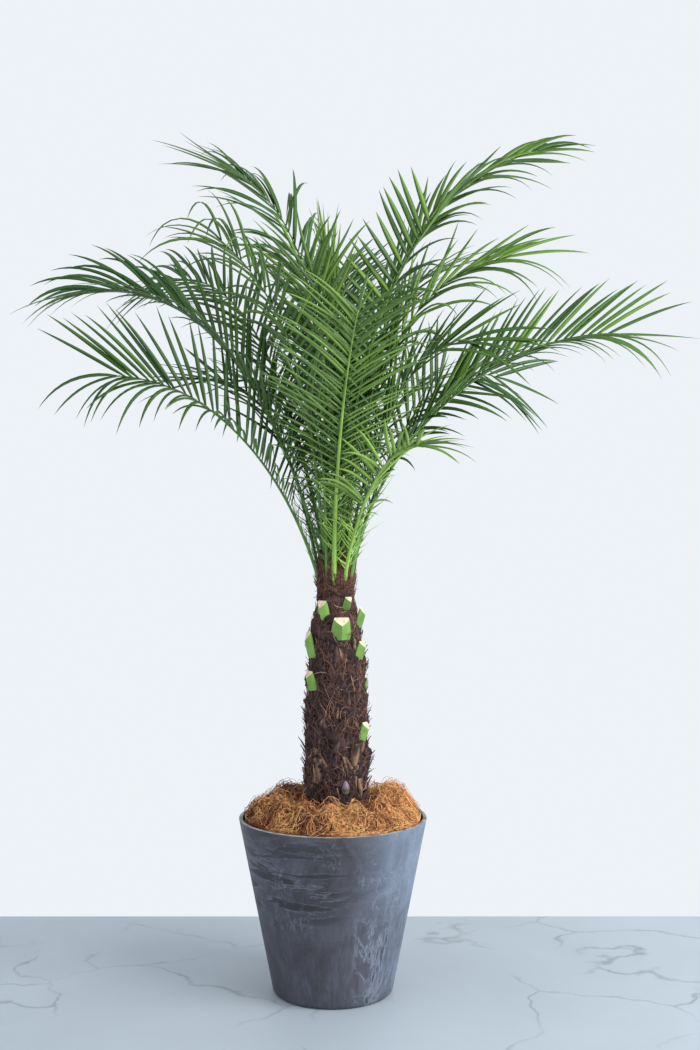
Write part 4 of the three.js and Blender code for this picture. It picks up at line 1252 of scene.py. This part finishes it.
class PALM_OT_ribs(Operator):
    """Draw the ribs and stems of the fronds, with their spines"""

    bl_idname = "palm.ribs"
    bl_label = "Ribs and spines"

    def execute(self, context):
        s = context.scene.palm_fronds
        rng = np.random.default_rng(SEED + 9)
        faces = tube_faces(RIB_STATIONS, len(RIB_SECTION))
        for k, (name, colour) in enumerate(RIB_COLOURS):
            group = [Rib(frond) for frond in FRONDS if (frond["tone"] > 1) == bool(k)]
            nodes = [f"frond_{rib.frond['name']}" for rib in group]
            piece = joined(f"ribs_{name}", np.stack([rib_points(rib) for rib in group]), faces)
            finish = mottled(f"rib_{name}", colour, 0.38, 22, 0.28, (1, 1, 0.3), bump=0.15)
            place_piece(piece, f"frond_{name}", nodes, finish)
            spines = self.spines(f"spines_{name}", group, s, rng)
            finish = mottled(f"spine_{name}", tinted(colour, 1.15), 0.45, 40, bump=0.1)
            place_piece(spines, f"frond_{name}", nodes, finish)
        return {"FINISHED"}

    def spines(self, name, group, settings, rng):
        """Thin tapering spines in two rows on each stem, below the first leaflets."""
        paths = []
        t = np.linspace(0, 1, SPINE_STATIONS)[None, :, None]
        hand = np.where(np.arange(SPINES) % 2, 1.0, -1.0)[:, None]
        low, high = SPINE_SPAN
        for rib in group:
            s = rng.uniform(low, high, SPINES)
            place, along, side, normal = rib.read(s)
            angle = np.radians(rng.uniform(30, 72, SPINES))[:, None]
            rise = np.radians(rng.uniform(-5, 40, SPINES))[:, None]
            out = side * hand * np.cos(rise) + normal * np.sin(rise)
            way = unit(along * np.cos(angle) + out * np.sin(angle))
            growth = blend(0.7, 1.3, (s - low) / (high - low))
            length = settings.spine_length * rng.uniform(0.4, 1.0, SPINES) * growth
            start = place + side * hand * (rib.width(s) * 0.42)[:, None]
            paths.append(start[:, None] + length[:, None, None] * (way[:, None] * t + SPINE_BOW * t ** 2))
        paths = np.concatenate(paths)
        radii = np.repeat(SPINE_RADIUS * (1 - 0.92 * t[..., 0]), len(paths), axis=0)
        return strands(name, paths, radii, sides=4)


# The web at the crown's foot: where its fibres start and end, their length, their reach from the crown's
# axis low down and higher up, and the share that flares outwards. Then the sheath inside the stems: its
# foot, its top and the radius at each.
WEB_FIBRES = 2400
WEB_STATIONS = 7
WEB_START_Z = (0.770, 0.838)
WEB_TOP_Z = 0.866
WEB_LENGTH = (0.02, 0.055)
WEB_REACH = (0.0345, 0.0265)
FLARE_SHARE = 0.15
SLEEVE_Z = (0.778, 0.846)
SLEEVE_R = (0.0285, 0.0245)
SLEEVE_TURNS = 72
SLEEVE_ROWS = 14


class PALM_OT_crown_fibre(Operator):
    """Web the foot of the crown with the brown fibre between the stems"""

    bl_idname = "palm.crown_fibre"
    bl_label = "Crown fibre"

    def execute(self, context):
        s = context.scene.palm_trunk
        finish = mottled("crown_sleeve_finish", tinted(s.bark, 1.3), 0.95, 60, 0.6, (1, 1, 0.4), bump=1.0,
                         specular=0.15)
        place_piece(self.sleeve(), "trunk", ["trunk"], finish)
        finish = mottled("crown_fibre_finish", tinted(s.fibre_red, 0.92), 0.88, 120, 0.6, specular=0.2)
        place_piece(self.web(s), "trunk", ["trunk"], finish)
        return {"FINISHED"}

    def web(self, s):
        """Fibres that cross round the sheath, some with loose ends."""
        rng = np.random.default_rng(SEED + 11)
        count = WEB_FIBRES
        theta = rng.uniform(0, 2 * math.pi, count)
        z = rng.uniform(*WEB_START_Z, count)
        reach = blend(*WEB_REACH, ease(z, 0.785, 0.05)) * rng.uniform(0.9, 1.06, count)
        flare = np.where(rng.random(count) < FLARE_SHARE, 1.04, 1.008)
        head = rng.normal(math.pi / 2, 0.7, count)
        step = rng.uniform(*WEB_LENGTH, count) / (WEB_STATIONS - 1)
        path = np.empty((count, WEB_STATIONS, 3))
        for i in range(WEB_STATIONS):
            path[:, i] = np.stack([AXIS_X + reach * np.cos(theta), reach * np.sin(theta), z], axis=-1)
            theta = theta + step * np.cos(head) / np.maximum(reach, 0.012)
            z = np.minimum(z + step * np.sin(head), WEB_TOP_Z)
            head = head + rng.normal(0, 0.25, count)
            reach = reach * flare
        return hairs("crown_fibre", path, s.fibre_radius, (0.7, 1.4), 0.3, rng)

    def sleeve(self):
        """The dark, ragged sheath inside the stems, closed at its foot and top."""
        t = np.linspace(0, 1, SLEEVE_ROWS)[:, None]
        theta = around(SLEEVE_TURNS)[None]
        x, y = np.cos(theta), np.sin(theta)
        ragged = SLEEVE_Z[1] + 0.007 * ripple(level(x, y), 0.9, 31)
        z = blend(SLEEVE_Z[0], ragged, t)
        creases = ripple(np.stack(np.broadcast_arrays(x, y, z * 20), axis=-1), 0.5, 32)
        radius = blend(*SLEEVE_R, t) + 0.0016 * creases
        points = np.stack([AXIS_X + radius * x, radius * y, z], axis=-1)
        return joined("crown_sleeve", points.reshape(1, -1, 3), tube_faces(SLEEVE_ROWS, SLEEVE_TURNS))


# ------------------------------------------------------------------ stage

# The floor's middle and size, the level camera, and the point that the lights aim at.
FLOOR_CENTRE = (0, -2.76, -0.0004)
FLOOR_SIZE = (9, 6.48, 1, 1)
CAMERA_PLACE = (0.0335, -2.6, 0.912)
CAMERA_LENS = 45.3
LIGHTS_AIM = (0, 0, 0.95)


class PALM_OT_stage(Operator):
    """Lay the pale floor and set the camera, the lights and the wall's colour"""

    bl_idname = "palm.stage"
    bl_label = "Stage"

    def execute(self, context):
        s = context.scene.palm_stage
        scene = context.scene
        clear_selection()
        bpy.ops.mesh.primitive_plane_add(size=1, location=(0, 0, 0))
        floor = context.object
        floor.name = "floor"
        floor.data.transform(Matrix.Translation(FLOOR_CENTRE) @ Matrix.Diagonal(FLOOR_SIZE))
        finish = Finish("pale_floor", 0.5, 0.3)
        cloud = finish.noise(1.6, detail=7, rough=0.62, distortion=0.4)
        look = finish.ramp(cloud, (0.32, tinted(s.floor, 0.93)), (0.68, tinted(s.floor, 1.07)))
        patch = finish.ramp(finish.noise(2.2, detail=3, shift=5.2), (0.44, 0.0), (0.56, 0.8))
        veins = finish.product(finish.cracks(2.6, 0.014, (1, 1.2, 1), 0.22, 2.0), patch)
        # The floor grows paler towards +X, on the right: a painted pool of the light from the right.
        look = finish.mix(finish.product(finish.span(0.3, 1.6, "X"), 0.5), look, tinted(s.floor, 1.3))
        finish.colour(finish.mix(veins, look, tinted(s.floor, 0.55)))
        finish.relief(finish.noise(9, detail=6), 0.05, 0.001)
        floor.data.materials.append(finish.material)
        self.light("key", (2.5, -1.4, 2.2), 2.2, s.key, (1.0, 0.985, 0.95))
        self.light("fill", (-2.4, -2.2, 1.6), 2.4, s.fill, (0.92, 0.96, 1.0))
        bpy.ops.object.camera_add(location=CAMERA_PLACE, rotation=(math.pi / 2, 0, 0))
        scene.camera = context.object
        scene.camera.data.lens = CAMERA_LENS
        world = bpy.data.worlds.new("pale_room")
        world.use_nodes = True
        world.node_tree.nodes["Background"].inputs["Color"].default_value = (*s.wall, 1)
        scene.world = world
        scene.view_settings.view_transform = "Standard"
        return {"FINISHED"}

    def light(self, name, place, size, power, colour):
        """A square soft light turned to the middle of the palm."""
        bpy.ops.object.light_add(type="AREA", location=place)
        lamp = bpy.context.object
        lamp.name = name
        lamp.data.size = size
        lamp.data.energy = power
        lamp.data.color = colour
        aim = Vector(LIGHTS_AIM) - Vector(place)
        lamp.rotation_euler = aim.to_track_quat("-Z", "Y").to_euler()


class PALM_PT_panel(Panel):
    """Lists the palm's pieces in the 3D view's sidebar"""

    bl_label = "Potted Palm"
    bl_idname = "PALM_PT_panel"
    bl_space_type = "VIEW_3D"
    bl_region_type = "UI"
    bl_category = "Palm"

    def draw(self, context):
        for piece in PIECES:
            self.layout.operator(piece.bl_idname)
        for name in SETTINGS:
            group = getattr(context.scene, name)
            box = self.layout.box()
            for key in group.__annotations__:
                box.prop(group, key)


PIECES = (PALM_OT_stage, PALM_OT_planter, PALM_OT_soil, PALM_OT_mulch, PALM_OT_trunk, PALM_OT_stems,
          PALM_OT_ribs, PALM_OT_leaflets, PALM_OT_crown_fibre)
SETTINGS = {"palm_stage": StageSettings, "palm_planter": PlanterSettings, "palm_mulch": MulchSettings,
            "palm_trunk": TrunkSettings, "palm_fronds": FrondSettings}


def register():
    for cls in (*SETTINGS.values(), *PIECES, PALM_PT_panel):
        bpy.utils.register_class(cls)
    for name, cls in SETTINGS.items():
        setattr(bpy.types.Scene, name, PointerProperty(type=cls))


def unregister():
    for name in SETTINGS:
        delattr(bpy.types.Scene, name)
    for cls in (PALM_PT_panel, *reversed(PIECES), *reversed(SETTINGS.values())):
        bpy.utils.unregister_class(cls)


def main():
    register()
    bpy.ops.palm.stage()
    bpy.ops.palm.planter()
    bpy.ops.palm.soil()
    bpy.ops.palm.mulch()
    bpy.ops.palm.trunk()
    bpy.ops.palm.stems()
    bpy.ops.palm.ribs()
    bpy.ops.palm.leaflets()
    bpy.ops.palm.crown_fibre()


if __name__ == "__main__":
    main()
